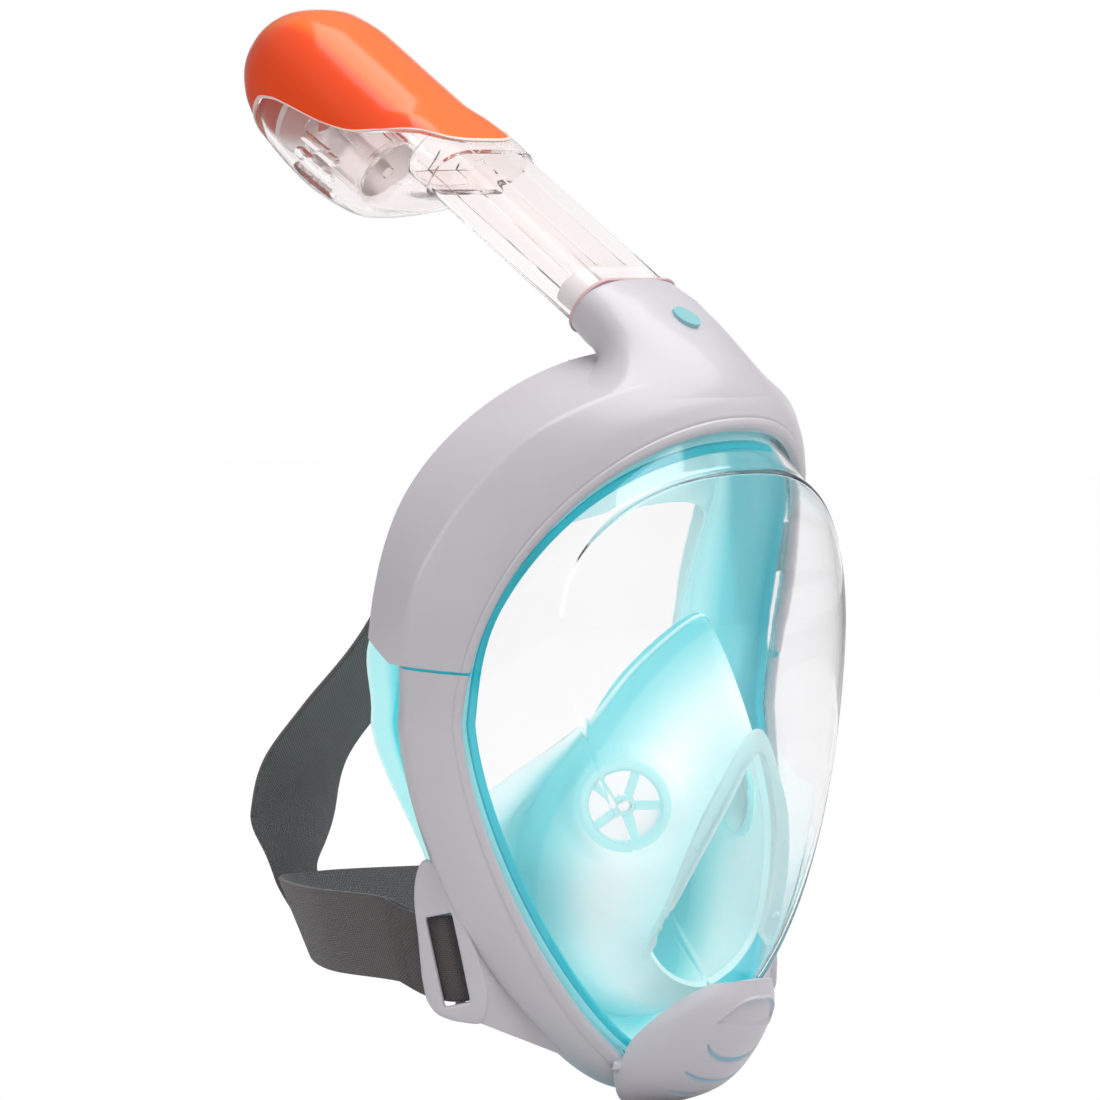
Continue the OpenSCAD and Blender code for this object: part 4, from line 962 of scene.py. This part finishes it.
def window_section(t):
    """From the flange's edge along the wall and over the rounded edge to the front's middle."""
    seat = -FRAME_WALL - 0.25
    foot = rim_point(t, *on_bevel(t, -0.5, seat))
    corner, end = front_point(t, 1), front_point(t, 0.975)
    edge = corner + Vector((0, 1.4, 0))
    start = lerp(edge, foot, 0.8/max(2.1, (edge - foot).length))
    line = [rim_point(t, *on_bevel(t, a, seat)) for a in (4, 2, 0.4)]
    line += [lerp(foot, start, u) for u in (0, 0.1, 0.25, 0.4, 0.55, 0.7, 0.85)]
    line += [curve(start, corner, end, k/EDGE_ROWS) for k in range(EDGE_ROWS + 1)]
    inwards = (0.95, 0.9, 0.84, 0.76, 0.66, 0.55, 0.44, 0.33, 0.22, 0.12, 0.05, 0)
    return line + [front_point(t, u) for u in inwards]


window = sheet([window_section(t*2) for t in range(181)], False)
face_away(window, (0, -40, 0))
window = piece("window", window, visor_clear, "mask", ["visor"], 60)
wall(window, WINDOW_WALL)

# %% [markdown]
# ## Skirt
# The skirt is soft turquoise silicone. Its front is clamped behind the window, it runs
# back round the face and its lip turns inwards, widest on the forehead. It is a closed
# section again, with generous rounding because moulded silicone has no sharp corners. A
# thin tongue of it fills the seam between the two halves of the frame.


# %% Face skirt
# Paleness of each corner of the skirt's section: the deep rows next to the frame and in the rear corner
# are partly painted shade.
SKIRT_PALE = [0.1, 0.1, 0, 0, 0.62, 0.62, 0.1, 0.1, 0.12, 0.55, 0.9, 1, 1, 0.85, 0.4, 0.1]
CORNER_ROWS = 5
SKIRT_WALL, SKIRT_SEAT, CHIN_DRAW, TONGUE_PALE = 2.4, -5.1, 4, 0.1
SKIRT_DEPTH, SKIRT_SWING, LIP_SIDE, LIP_BROW = 35, 7, 11, 22


def skirt_reach(t):
    """The skirt's depth: deepest above the temples and least along the jaw."""
    s = math.sin(math.radians(t))
    if s >= 0:
        return SKIRT_DEPTH + SKIRT_SWING*ease(s/0.25)*ease((1 - s)/0.6)
    return SKIRT_DEPTH - SKIRT_SWING*ease(-s/0.4)


def skirt_section(t):
    """From the clamped front back to the face, in along the lip and forward again."""
    w, seat, d, draw = SKIRT_WALL, SKIRT_SEAT, skirt_reach(t), CHIN_DRAW*chin_share(t)
    fore = lerp(-4.4, -2.2, chin_share(t))
    fold = w*min(1, 1.5*bevel(t).normalized().x)
    tip = max(24, d - 9)
    lip = lerp(LIP_SIDE, LIP_BROW, ease((math.sin(math.radians(t)) - 0.5)/0.5))
    front = [(fore, 0, 0.5), (fore*0.52, 0, 0.1), (fore*0.48, -0.4, 0.1), (fore*0.38, -0.4, 0.1),
             (fore*0.34, 0, 0.1), (-fore*0.12, 0, 0.2), (4, 0, 0.6), (4, -fold, 1.0)]
    keys = [(*on_bevel(t, along, seat + lift), cut) for along, lift, cut in front]
    keys += [(1.2 - draw, 19, 5), (0.6 - draw, d - 6, 2.5), (-0.6 - draw, d, 3), (-lip - draw, tip, 0.6),
             (-lip - draw, tip - 1.2, 0.5), (-1.8 - draw, d - 7.2, 3), (-1.2 - draw, 19, 5),
             (*on_bevel(t, fore, seat - w), 0.9)]
    return [rim_point(t, q.x, q.y) for q in rounded(keys)]


skirt = sheet([skirt_section(t*2) for t in range(181)], True,
              lambda col, row: SKIRT_PALE[row//CORNER_ROWS])
for side in (0, 180):
    strip = sheet([frame_section(side + t, -5.2, BAND_DEPTH) for t in range(-14, 15)], True)
    bmesh.ops.scale(strip, verts=strip.verts, vec=(0.996, 1, 1))
    cut_below(strip, SEAM - Vector((0, 0, 1.2)), seam_plane(SEAM_RISE))
    cut_below(strip, SEAM + Vector((0, 0, 0.8)), -seam_plane(SEAM_RISE))
    cap_holes(strip)
    paled(strip, TONGUE_PALE)
    join(skirt, strip)
piece("skirt", skirt, skirt_silicone, "mask", ["face_skirt"])

# %% [markdown]
# ## Nose and mouth cup
# The cup is moulded in thinner, paler silicone. Smooth loops through a few points give
# its mouth, its edge on the face and the web that runs out to the skirt. The sheet
# between them is pressed flat round each valve, where the real cup has a round boss,
# and opened inside the valve's ring.


# %% Cup loops
MOUTH = [(0, -2, -8), (11.9, 1, -24), (18.9, 5, -38), (24, 10, -52), (27, 15, -63), (20.5, 16, -71),
         (10.8, 16, -76), (0, 16, -78)]
ON_FACE = [(0, 15, 29), (17.5, 25, 15), (30, 32, -2), (36.9, 44, -20), (39.9, 50, -40), (38, 51, -62),
           (23.9, 46, -80), (0, 43, -88)]
WEB_TOP = [(0, 16, 30), (17.9, 26, 16), (32.7, 35, -2), (44, 53, -17)]
WEB_ANGLES = (-20, -42, -64, -90)
CUP_MID = -38
CUP_WALL, CUP_COLS, SIDE_ROWS, FOLD_ROWS = 2.0, 168, 26, 4


def cup_points(rows):
    """Points given by x, the way back from the rim's front, and z."""
    return [Vector((x, RIM_FRONT + back, z)) for x, back, z in rows]


def whole_loop(half):
    """A half loop closed with its mirror image."""
    return half + [flipped(p) for p in half[-2:0:-1]]


def loop_point(points, u):
    """A point on a smooth closed loop through the given points."""
    i = math.floor(u)
    return smooth(*(points[(i + k) % len(points)] for k in (-1, 0, 1, 2)), u - i)


mouth, on_face = whole_loop(cup_points(MOUTH)), whole_loop(cup_points(ON_FACE))
skirt_side = [rim_point(t, -3.6 - CHIN_DRAW*chin_share(t), 17) for t in WEB_ANGLES]
web = whole_loop(cup_points(WEB_TOP) + skirt_side)
LOOP_POINTS = len(mouth)
VALVE = Vector((29.68, -58.63, -24.33))
VALVE_TURN = math.radians(53)
valve_out = Vector((math.sin(VALVE_TURN), -math.cos(VALVE_TURN), 0))
BOSS_R, BOSS_BLEND, BOSS_RISE, CUP_SWELL, JAW_FOLD = 18.5, 3.5, 0.6, 3.0, 22


def swollen(p, d):
    """A point moved away from the cup's axis."""
    v = Vector((p.x, p.z - CUP_MID))
    v = v*(v.length + d)/v.length
    return Vector((v.x, p.y, v.y + CUP_MID))


def from_valve(p):
    """The nearer valve's outward way, the rise above it and the way from its axis to a point."""
    side = 1 if p.x > 0 else -1
    out = Vector((side*valve_out.x, valve_out.y, 0))
    off = p - Vector((side*VALVE.x, VALVE.y, VALVE.z))
    rise = off.dot(out)
    return out, rise, off - out*rise


def boss(p):
    """Presses the sheet onto the flat round each valve."""
    out, rise, flat = from_valve(p)
    near = ease((BOSS_R - flat.length)/BOSS_BLEND)
    return p + out*(BOSS_RISE - rise)*near*ease((9 - abs(rise))/3)


def cup_column(u):
    """From the mouth along the side to the face, round the fold and out along the web."""
    a, c, d = loop_point(mouth, u), loop_point(on_face, u), loop_point(web, u)
    b = swollen((a + c)/2, CUP_SWELL)*2 - (a + c)/2
    side = [boss(curve(a, b, c, 0.95*k/SIDE_ROWS)) for k in range(SIDE_ROWS + 1)]
    jaw = min(u, LOOP_POINTS - u)
    back = c + Vector((0, 1 + JAW_FOLD*ease(jaw - 3)*ease((6.2 - jaw)/0.8), 0))
    fold = [curve(side[-1], back, lerp(c, d, 0.12), k/FOLD_ROWS) for k in range(1, FOLD_ROWS + 1)]
    return side + fold + [lerp(c, d, f) for f in (0.3, 0.5, 0.7, 0.85, 1.0)]


# Paleness of each row of the cup, from the mouth to the web: the deep rows by the face and in the fold are
# partly painted shade.
CUP_PALE = [lerp(0.75, 1.0, k/8) for k in range(9)]
CUP_PALE += [lerp(1.0, 0.2, ease(k/14)) for k in range(15)]
CUP_PALE += [0.1]*7 + [0.25, 0.7, 0.95, 1, 1]
VALVE_HOLE, VALVE_REACH = 12.2, 8
cup = sheet([cup_column(LOOP_POINTS*k/CUP_COLS) for k in range(CUP_COLS + 1)], False,
            lambda col, row: CUP_PALE[row])
face_away(cup, (0, -20, CUP_MID))
opening = []
for f in cup.faces:
    _, rise, flat = from_valve(f.calc_center_median()/MM)
    if abs(rise) < VALVE_REACH and flat.length < 12:
        opening.append(f)
bmesh.ops.delete(cup, geom=opening, context="FACES")
for v in cup.verts:
    p = v.co/MM
    _, rise, flat = from_valve(p)
    if v.is_boundary and flat.length < 17 and abs(rise) < VALVE_REACH:
        v.co = (p + flat*(VALVE_HOLE/flat.length - 1))*MM
cup = piece("nose_cup", cup, cup_silicone, "mask", ["orinasal_cup"], 70)
wall(cup, CUP_WALL)

# %% [markdown]
# A milky clamp grips the cup's mouth from one lower corner over the nose to the other. It
# is a flat strip with rounded edges, swept along the mouth's loop, with four small studs.

# %% Mouth clamp
CLAMP_END, CLAMP_COLS, STUD_R = 4.15, 96, 1.3
CLAMP_SECTION = [(-1.6, -2.6, 0.8), (5.4, -2.6, 0.8), (5.4, -0.6, 0.8), (-1.6, -0.6, 0.8)]


def on_mouth(u, out, y):
    """A place beside the mouth's loop, away from the cup's axis and to the rear."""
    p = loop_point(mouth, u)
    away = Vector((p.x, 0, p.z - CUP_MID)).normalized()
    return p + away*out + Vector((0, y, 0))


places = [lerp(-CLAMP_END, CLAMP_END, k/CLAMP_COLS) for k in range(CLAMP_COLS + 1)]
clamp = sheet([[on_mouth(u, *q) for q in rounded(CLAMP_SECTION, 3)] for u in places], True)
cap_holes(clamp)
for u in (-3.4, -1.9, 1.9, 3.4):
    stud = bmesh.ops.create_uvsphere(clamp, u_segments=20, v_segments=10, radius=STUD_R*MM)["verts"]
    bmesh.ops.translate(clamp, verts=stud, vec=on_mouth(u, 3.2, -1.9)*MM)
piece("mouth_clamp", clamp, clamp_clear, "mask", ["cup_rail"])

# %% [markdown]
# ## Breathing valves
# Each inhale valve is a ring with five spokes and a hub. The ring is a small section
# spun round the valve's axis, and the spokes are bevelled bars. The thin flap behind it
# lifts when the wearer breathes in.


# %% Valve rings and flaps
RING = [(10, -2.5, 0.3), (12.2, -2.5, 0.3), (12.2, 0.4, 0.3), (13.2, 0.5, 0.3), (13.2, 1.0, 0.4),
        (10.8, 1.4, 0.5), (10, 0.6, 0.4)]
HUB = [(1.25, -2.5, 0.2), (3, -2.5, 0.3), (3, -0.6, 0.5), (1.25, -0.6, 0.2)]
FLAP = [(0.01, -3.6, 0), (11, -3.6, 0.3), (11.1, -3.2, 0.2), (10.6, -2.8, 0.3), (1.2, -2.8, 0.2),
        (1.2, 0.8, 0.1), (2, 0.9, 0.3), (1.6, 1.7, 0.4), (0.01, 1.7, 0)]
SPOKES, SPOKE, SPOKE_PLACE = 5, (8.0, 2.6, 1.5), (6.6, 0, -1.75)
RING_PALE = 0.45


def on_valve(side):
    """The matrix that puts a shape on a valve, with z out of the cup."""
    out = Vector((side*valve_out.x, valve_out.y, 0))
    up = Vector((0, 0, 1))
    turn = Matrix((up.cross(out), up, out)).transposed().to_4x4()
    return Matrix.Translation(Vector((side*VALVE.x, VALVE.y, VALVE.z))*MM) @ turn


def spun(bm, profile):
    """A closed section of (radius, height) corners spun round the z axis."""
    verts = [bm.verts.new(Vector((q.x, 0, q.y))*MM) for q in rounded(profile, 2)]
    edges = [bm.edges.new((verts[i - 1], verts[i])) for i in range(len(verts))]
    bmesh.ops.spin(bm, geom=verts + edges, cent=(0, 0, 0), axis=(0, 0, 1), angle=math.tau, steps=64,
                   use_merge=True)


def spoked_ring(first):
    """A ring and a hub with spokes between them, the first at an angle."""
    bm = bmesh.new()
    spun(bm, RING)
    spun(bm, HUB)
    for k in range(SPOKES):
        spoke = block(bm, SPOKE, SPOKE_PLACE)
        turn = math.radians(first + 360/SPOKES*k)
        bmesh.ops.rotate(bm, verts=spoke, matrix=Matrix.Rotation(turn, 3, "Z"))
        soften(bm, spoke, 0.35)
    bmesh.ops.recalc_face_normals(bm, faces=bm.faces)
    return bm


def flap_disc():
    """A thin disc with a knob through the hub."""
    bm = bmesh.new()
    spun(bm, FLAP)
    bmesh.ops.remove_doubles(bm, verts=bm.verts, dist=AXIS_MERGE)
    bmesh.ops.recalc_face_normals(bm, faces=bm.faces)
    return bm


for side, hand in ((-1, "left"), (1, "right")):
    ring = spoked_ring(90 + 90*side)
    bmesh.ops.transform(ring, matrix=on_valve(side), verts=ring.verts)
    paled(ring, RING_PALE)
    piece("valve_ring_" + hand, ring, cup_silicone, "mask", ["inhale_seat_" + hand])
    disc = flap_disc()
    bmesh.ops.transform(disc, matrix=on_valve(side), verts=disc.verts)
    piece("valve_disc_" + hand, disc, flap_clear, "inhale_" + hand,
          ["inhale_flap_" + hand])

# %% [markdown]
# ## Chin cover
# A pale keel covers the exhale valve under the chin. Its rows run across it from edge to
# edge over the keel. Shallow relief lies across the keel: a sunken leaf with a raised
# outline, and three curved grooves below it. How much painted shade a place takes is kept as
# an attribute, and the finish paints the grooves and the leaf's upper edge pale blue as
# shade in these hollows.

# %% Chin cover
KEEL = [(-6, -75), (-5.5, -84), (2, -97), (14.5, -108.7), (33, -114.6)]
EDGE = [(2.6, -76), (8.5, -80), (15.2, -86), (21.4, -93), (24, -101)]
GROOVES = [(2.17, 0.32, 37, 0.09), (2.7, 0.12, 36, 0.075), (3.16, 0.02, 32, 0.06)]
COVER_FRONT_HALF_W, COVER_REAR_HALF_W, COVER_WALL = 12, 28, 2.4
COVER_START, COVER_END = 0.02, 3.98
LEAF_RIDGE, LEAF_DEPTH, LEAF_EDGE, GROOVE_DEPTH = 0.5, 0.9, 0.1, 1.0
ROWS, COLS = 150, 180


def leaf(a, u):
    """How far inside the leaf a place lies, by the turn about the keel and the place along it."""
    top = 0.65 + 0.77*abs(a/42)**3.5
    return min(u - top, 1.44 - u)


def groove(a, u):
    """One in the middle of a groove and zero outside it."""
    deepest = 0.0
    for place, rise, tip, half in GROOVES:
        width = half*(1 - (a/tip)**4) if abs(a) < tip else 0.0
        line = place - rise*abs(a/tip)**3
        deepest = max(deepest, ease(1 - abs(u - line)/width) if width > 0.01 else 0.0)
    return deepest


def cover_turn(k):
    """The turn about the keel of a place across the cover, from -90 to 90."""
    return lerp(-90, 90, k/COLS)


def cover_place(k):
    """The place of a row along the keel."""
    return lerp(COVER_START, COVER_END, k/ROWS)


def cover_row(u):
    """A row from edge to edge over the keel, with its relief."""
    keel, edge = path_point(KEEL, u), path_point(EDGE, u)
    way = (path_point(KEEL, u + 0.02) - path_point(KEEL, u - 0.02)).normalized()
    out = Vector((way.y, -way.x))
    widening = math.sin(math.radians(90*u/(len(KEEL) - 1)))
    half_w = lerp(COVER_FRONT_HALF_W, COVER_REAR_HALF_W, widening)
    row = []
    for k in range(COLS + 1):
        turn = cover_turn(k)
        a, inside = math.radians(turn), leaf(turn, u)
        high = (LEAF_RIDGE*ease(1 - abs(inside)/LEAF_EDGE) - LEAF_DEPTH*ease(inside/LEAF_EDGE)
                - GROOVE_DEPTH*groove(turn, u))
        q = edge.lerp(keel, math.cos(a)) + out*high*math.cos(a)
        row.append(Vector((half_w*math.sin(a), RIM_FRONT + q.x, q.y)))
    return row


def groove_shade(col, row):
    """Painted shade: full in the grooves, less along the upper side of the leaf."""
    turn, u = cover_turn(row), cover_place(col)
    # The leaf's upper edge takes part of the painted shade.
    outline = ease(1 - abs(leaf(turn, u) - 0.06)/0.06)*ease((1.25 - u)/0.2)
    return max(groove(turn, u), 0.8*outline)


cover = sheet([cover_row(cover_place(k)) for k in range(ROWS + 1)], False, groove_shade)
face_away(cover, (0, -50, -80))
cover = piece("chin_shell", cover, cover_pale, "mask", ["chin_cover"], 60)
wall(cover, COVER_WALL)

# %% [markdown]
# ## Snorkel
# The tube is a flat oval in clear plastic with two thin walls inside, so that breath in
# and out keep apart. A grey sleeve inside its foot and a thin pinkish ring on the collar
# seal it.


# %% Tube, sleeve and collar ring
TUBE_W, TUBE_T, TUBE_WALL, TUBE_FOOT, TUBE_TOP = 43, 16, 1.6, -23.5, 76
SLEEVE_W, SLEEVE_T, RING_W, RING_T, OVAL_COLS = 39.6, 12.6, 46.3, 19.3, 96
FIN, FIN_X, FIN_MID = (1.2, 13.2, 65), 7, 43.5


def oval_band(w, t, profile):
    """A closed section (inset, height) swept round a flat oval."""
    sections = []
    for k in range(OVAL_COLS + 1):
        line = []
        for q in rounded(profile, 2):
            x, y = stadium(k/OVAL_COLS, w - 2*q.x, t - 2*q.x)
            line.append(on_tube(x, y, q.y))
        sections.append(line)
    return sheet(sections, True)


tube = oval_band(TUBE_W, TUBE_T, [(0, TUBE_FOOT, 0.3), (0, TUBE_TOP, 0.3), (TUBE_WALL, TUBE_TOP, 0.3),
                                  (TUBE_WALL, TUBE_FOOT, 0.3)])
for side in (-1, 1):
    fin = block(tube, FIN, (side*FIN_X, 0, FIN_MID))
    bmesh.ops.rotate(tube, verts=fin, matrix=Matrix.Rotation(-LEAN, 3, "X"))
    bmesh.ops.translate(tube, verts=fin, vec=COLLAR*MM)
piece("breathing_tube", tube, tube_clear, "snorkel", ["snorkel_tube"])
sleeve = oval_band(SLEEVE_W, SLEEVE_T, [(0, -22, 0.3), (0, 10, 0.4), (1.1, 10, 0.4), (1.1, -22, 0.3)])
piece("grey_sleeve", sleeve, sleeve_grey, "snorkel", ["tube_sleeve"])
ring = oval_band(RING_W, RING_T, [(0, 0.02, 0.3), (0, 1.2, 0.5), (1.25, 1.2, 0.3), (1.25, 0.02, 0.2)])
piece("collar_ring", ring, seal_pink, "mask", ["collar_seal"])

# %% [markdown]
# ## Snorkel head
# The head is one smooth form, split by a wavy line into the orange cap and the clear
# inlet shell. Each column of the form is followed until it crosses the line: the cap takes
# what lies above and the shell what lies below. A table gives the form by the share of its
# length: half its width, its reach to the front and to the rear, and its roundness.

# %% Head form
HEAD = [(-0.03, 22.7, 9.2, 9.2, 3.4), (0.05, 24.57, 9.6, 14.56, 3.2), (0.15, 25.92, 9.6, 25.28, 3),
        (0.27, 27, 9.6, 33.32, 2.3), (0.47, 27, 9.6, 36, 2.3), (0.68, 26.46, 9.6, 34.5, 2.3),
        (0.81, 24.03, 8.2, 31, 2.3), (0.9, 19.44, 4, 26.5, 2.3), (0.965, 12.15, -2.4, 21, 2.2),
        (1, 1.62, -11.4, 14.5, 2)]
SPLIT = [(-14, -8), (-10.5, -1), (-6.5, 11), (0, 20), (6, 28), (10, 38), (12.5, 48), (15, 57),
         (19, 62.5), (25, 63.5), (32, 61.5), (40, 58)]
HEAD_FOOT, HEAD_LENGTH, HEAD_WALL = 68, 85, 2.0
FIRST_SHARE, SPLIT_GAP = HEAD[0][0], 0.002


def smooth_lookup(table, key, col):
    """A value between table rows, on a smooth line that never swings past them."""
    i = 0
    while i < len(table) - 2 and key > table[i + 1][0]:
        i += 1
    slopes = [(after[col] - before[col])/(after[0] - before[0]) for before, after in zip(table, table[1:])]

    def tangent(k):
        if k == 0 or k == len(table) - 1:
            return slopes[min(k, len(slopes) - 1)]
        before, after = slopes[k - 1], slopes[k]
        return 0.0 if before*after <= 0 else 2*before*after/(before + after)

    h = table[i + 1][0] - table[i][0]
    f = (key - table[i][0])/h
    return (table[i][col]*(2*f**3 - 3*f*f + 1) + h*tangent(i)*(f**3 - 2*f*f + f)
            + table[i + 1][col]*(3*f*f - 2*f**3) + h*tangent(i + 1)*(f**3 - f*f))


def head_point(a, share):
    """A point of the head at an angle round it and a share of its length."""
    half_w, front, rear, power = (smooth_lookup(HEAD, share, c) for c in (1, 2, 3, 4))
    return oval(a, half_w, front, rear, HEAD_FOOT + HEAD_LENGTH*share, power)


def above_split(p):
    """How far a point of the head stands above the split line."""
    local = p - COLLAR
    return local.dot(tube_z) - HEAD_FOOT - smooth_lookup(SPLIT, local.dot(tube_y), 1)


def split_share(a):
    """The share of the head's length at which a column crosses the line."""
    low, high = FIRST_SHARE, 0.99
    for _ in range(24):
        mid = (low + high)/2
        low, high = (mid, high) if above_split(head_point(a, mid)) < 0 else (low, mid)
    return (low + high)/2


angles = [a*1.5 for a in range(241)]
shares = [split_share(a) for a in angles]
print("split between", round(min(shares), 3), "and", round(max(shares), 3))

# %% Cap and inlet shell
CAP_ROWS, SHELL_ROWS = 48, 72
SLOT_REARS = (17, 23, 29)
SLOT_MIDDLE, SLOT_HALF_RUN, SLOT_R, SLOT_SIDE = 102, 6.5, 1.5, 8
BEAD = [(-0.7, -0.6, 0.3), (0.7, -0.6, 0.3), (0.7, 0.35, 0.4), (-0.7, 0.35, 0.4)]
tip = (head_point(0, 1) + head_point(180, 1))/2


def cap_column(a, share):
    """From the split line to the tip, with rows closer together near the tip."""
    rows = [(k/CAP_ROWS)**0.8 for k in range(CAP_ROWS + 1)]
    return [head_point(a, lerp(share + SPLIT_GAP, 1, f)) for f in rows] + [tip]


def shell_column(a, share):
    """From the tube's end up to the split line."""
    rows = [k/SHELL_ROWS for k in range(SHELL_ROWS + 1)]
    return [head_point(a, lerp(FIRST_SHARE, share - SPLIT_GAP, f)) for f in rows]


def bead_section(a, share):
    """A thin bead on the split line."""
    p = head_point(a, share)
    along = (head_point(a, share + 0.01) - p).normalized()
    out = (p - on_tube(0, 10, (p - COLLAR).dot(tube_z))).normalized()
    return [p + along*q.x + out*q.y for q in rounded(BEAD, 2)]


def in_slot(p):
    """Whether a place of the shell lies in one of its round-ended slots."""
    local = p - COLLAR
    run = max(0, abs(local.dot(tube_z) - SLOT_MIDDLE) - SLOT_HALF_RUN)
    near = min(math.hypot(local.dot(tube_y) - rear, run) for rear in SLOT_REARS)
    return abs(local.x) > SLOT_SIDE and near < SLOT_R


columns = list(zip(angles, shares))
cap = sheet([cap_column(a, share) for a, share in columns], False)
face_away(cap, on_tube(0, 10, 110))
cap = piece("orange_cap", cap, cap_orange, "snorkel", ["top_cap"], 60)
wall(cap, HEAD_WALL)
shell = sheet([shell_column(a, share) for a, share in columns], False)
face_away(shell, on_tube(0, 10, 90))
slot_faces = [f for f in shell.faces if in_slot(f.calc_center_median()/MM)]
bmesh.ops.delete(shell, geom=slot_faces, context="FACES")
shell = piece("inlet_shell_clear", shell, inlet_clear, "snorkel", ["inlet_shell"], 60)
wall(shell, HEAD_WALL)
bead = sheet([bead_section(a, share) for a, share in columns], True)
piece("split_bead", bead, bead_pale, "snorkel")

# %% [markdown]
# ## Head strap
# The bands are flat webbing, modelled directly as ribbons. A ribbon is a grid laid along
# a smooth path, with its own direction across at each point. Its UV map is laid out in
# metres so that the knit keeps its size. Each band is looped round a bar: the lower one
# round a pin behind each ear's slot, and the upper one round the bracket's bar.


# %% Strap paths
def slot_point(u, v, n):
    """A place in the left slot: along the plate, up the slot and inwards."""
    a = PIN_U + u + v*math.sin(EAR_TILT)
    b = SLOT_MID + v*math.cos(EAR_TILT) + max(0, u - 7)*0.5
    return on_ear(a, b, n)


def half_turn(radius):
    """Points of a half turn round a bar, by the way along and the way out."""
    turns = [math.radians(a) for a in range(-90, 91, 30)]
    return [(-radius*math.cos(a), radius*math.sin(a)) for a in turns]


def along_path(points):
    """Closely spaced points on a smooth line through a few."""
    return [path_point(points, k/STEPS) for k in range((len(points) - 1)*STEPS + 1)]


STEPS = 10
PIN_DEPTH, LOOP_R, LAYER, LAP = 5.6, 2.6, 1.9, 17
REAR_Y, REAR_Z, REAR_LEAN = 77, -61.8, math.radians(36)
BEHIND_HEAD = [(-66, 22), (-42, 51), (-16, 72), (0, REAR_Y)]
lap = [(LAP, LOOP_R - LAYER), (LAP*0.6, -LOOP_R*0.3), (LAP*0.2, -LOOP_R + 0.3)]
run = [(LAP*0.5, LOOP_R), (LAP, LOOP_R)]
half = [slot_point(u, 0, PIN_DEPTH + n) for u, n in lap + half_turn(LOOP_R) + run]
half += [Vector((x, y, REAR_Z)) for x, y in BEHIND_HEAD]
slot_up = (slot_point(0, 1, 0) - slot_point(0, 0, 0)).normalized()
rear_up = Vector((0, math.sin(REAR_LEAN), math.cos(REAR_LEAN)))
left = along_path(half)
left_up = [lerp(slot_up, rear_up, ease((k/STEPS - 11)/4)).normalized() for k in range(len(left))]
lower_path = left + [flipped(p) for p in left[-2::-1]]
lower_up = left_up + [flipped(p) for p in left_up[-2::-1]]

BAR_Y, BAR_Z, BAR_R, BAR_LAP, BAR_FALL, BAR_LAYER = -29, 95, 3.1, 12, 6, 2.28
OVER_CROWN = [(1, 78), (23, 53), (46, 21), (66.9, 0), (82.1, -17), (86.9, -32), (86.9, -43)]
JOIN_START, JOIN_LENGTH = 12.5, 14
lean = Vector((math.sin(REAR_LEAN), math.cos(REAR_LEAN)))
join_place = Vector((REAR_Y, REAR_Z)) + LAYER*Vector((lean.y, -lean.x))
lap_end = BAR_Z + BAR_R - BAR_FALL
crown = [(BAR_Y + BAR_LAP, lap_end - BAR_LAYER)]
crown += [(BAR_Y + y, BAR_Z + z) for y, z in half_turn(BAR_R)]
crown += [(BAR_Y + BAR_LAP, lap_end)] + OVER_CROWN
crown += [tuple(join_place + lean*d) for d in (JOIN_START, JOIN_START - JOIN_LENGTH)]
upper_path = [Vector((0, *p)) for p in along_path(crown)]
print("lower band", len(lower_path), "points, upper band", len(upper_path))


# %% Ribbons
BAND_T, BAND_EDGE = 1.6, 0.7
LOWER_W, UPPER_W, UPPER_END_W = 25.0, 40, 20
NARROWING = 14


def ribbon(name, path, across, widths, node):
    """A flat band along a path, with a UV map in metres."""
    sections, n = [], len(path)
    for k in range(n):
        along = path[min(k + 1, n - 1)] - path[max(k - 1, 0)]
        face = along.cross(across[k]).normalized()
        w, t = widths[k]/2, BAND_T/2
        keys = [(x, y, BAND_EDGE) for x, y in ((-w, -t), (w, -t), (w, t), (-w, t))]
        sections.append([path[k] + across[k]*q.x + face*q.y for q in rounded(keys, 3)])
    bm = sheet(sections, True)
    cap_holes(bm)
    lengths = [0.0]
    for k in range(1, n):
        lengths.append(lengths[-1] + (path[k] - path[k - 1]).length)
    lay = bm.loops.layers.uv.new("lay")
    nearest = {}
    for k in range(n):
        for q in sections[k]:
            nearest[tuple(round(c, 2) for c in q)] = (lengths[k], (q - path[k]).dot(across[k]))
    for f in bm.faces:
        for corner in f.loops:
            key = tuple(round(c/MM, 2) for c in corner.vert.co)
            s, v = nearest.get(key, (0.0, 0.0))
            corner[lay].uv = (s*MM, v*MM)
    return piece(name, bm, strap_webbing, "mask", [node])


ribbon("lower_strap", lower_path, lower_up, [LOWER_W]*len(lower_path), "strap_lower")
widths = [lerp(UPPER_W, UPPER_END_W, ease((k/STEPS - NARROWING)/2)) for k in range(len(upper_path))]
ribbon("upper_strap", upper_path, [Vector((1, 0, 0))]*len(upper_path), widths, "strap_upper")

# %% [markdown]
# ## Solids that stay
# Small turned pieces inside the head and the chin, the pins and the bracket already have
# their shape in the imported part, so they only get their finishes.

# %% Finishes of the solids
FINISHES = {"float": float_white, "float_gasket": gasket_dark, "float_cage": inlet_clear,
            "valve_seat": seat_pale, "chin_valve_seat": seat_pale, "chin_valve_flap": flap_clear,
            "strap_pins": pin_plastic, "strap_anchor": frame_white, "brow_inlay": inlay_teal}
for name, finish in FINISHES.items():
    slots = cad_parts[name].data.materials
    slots.clear()
    slots.append(finish)
print("solids with new finishes:", len(FINISHES))
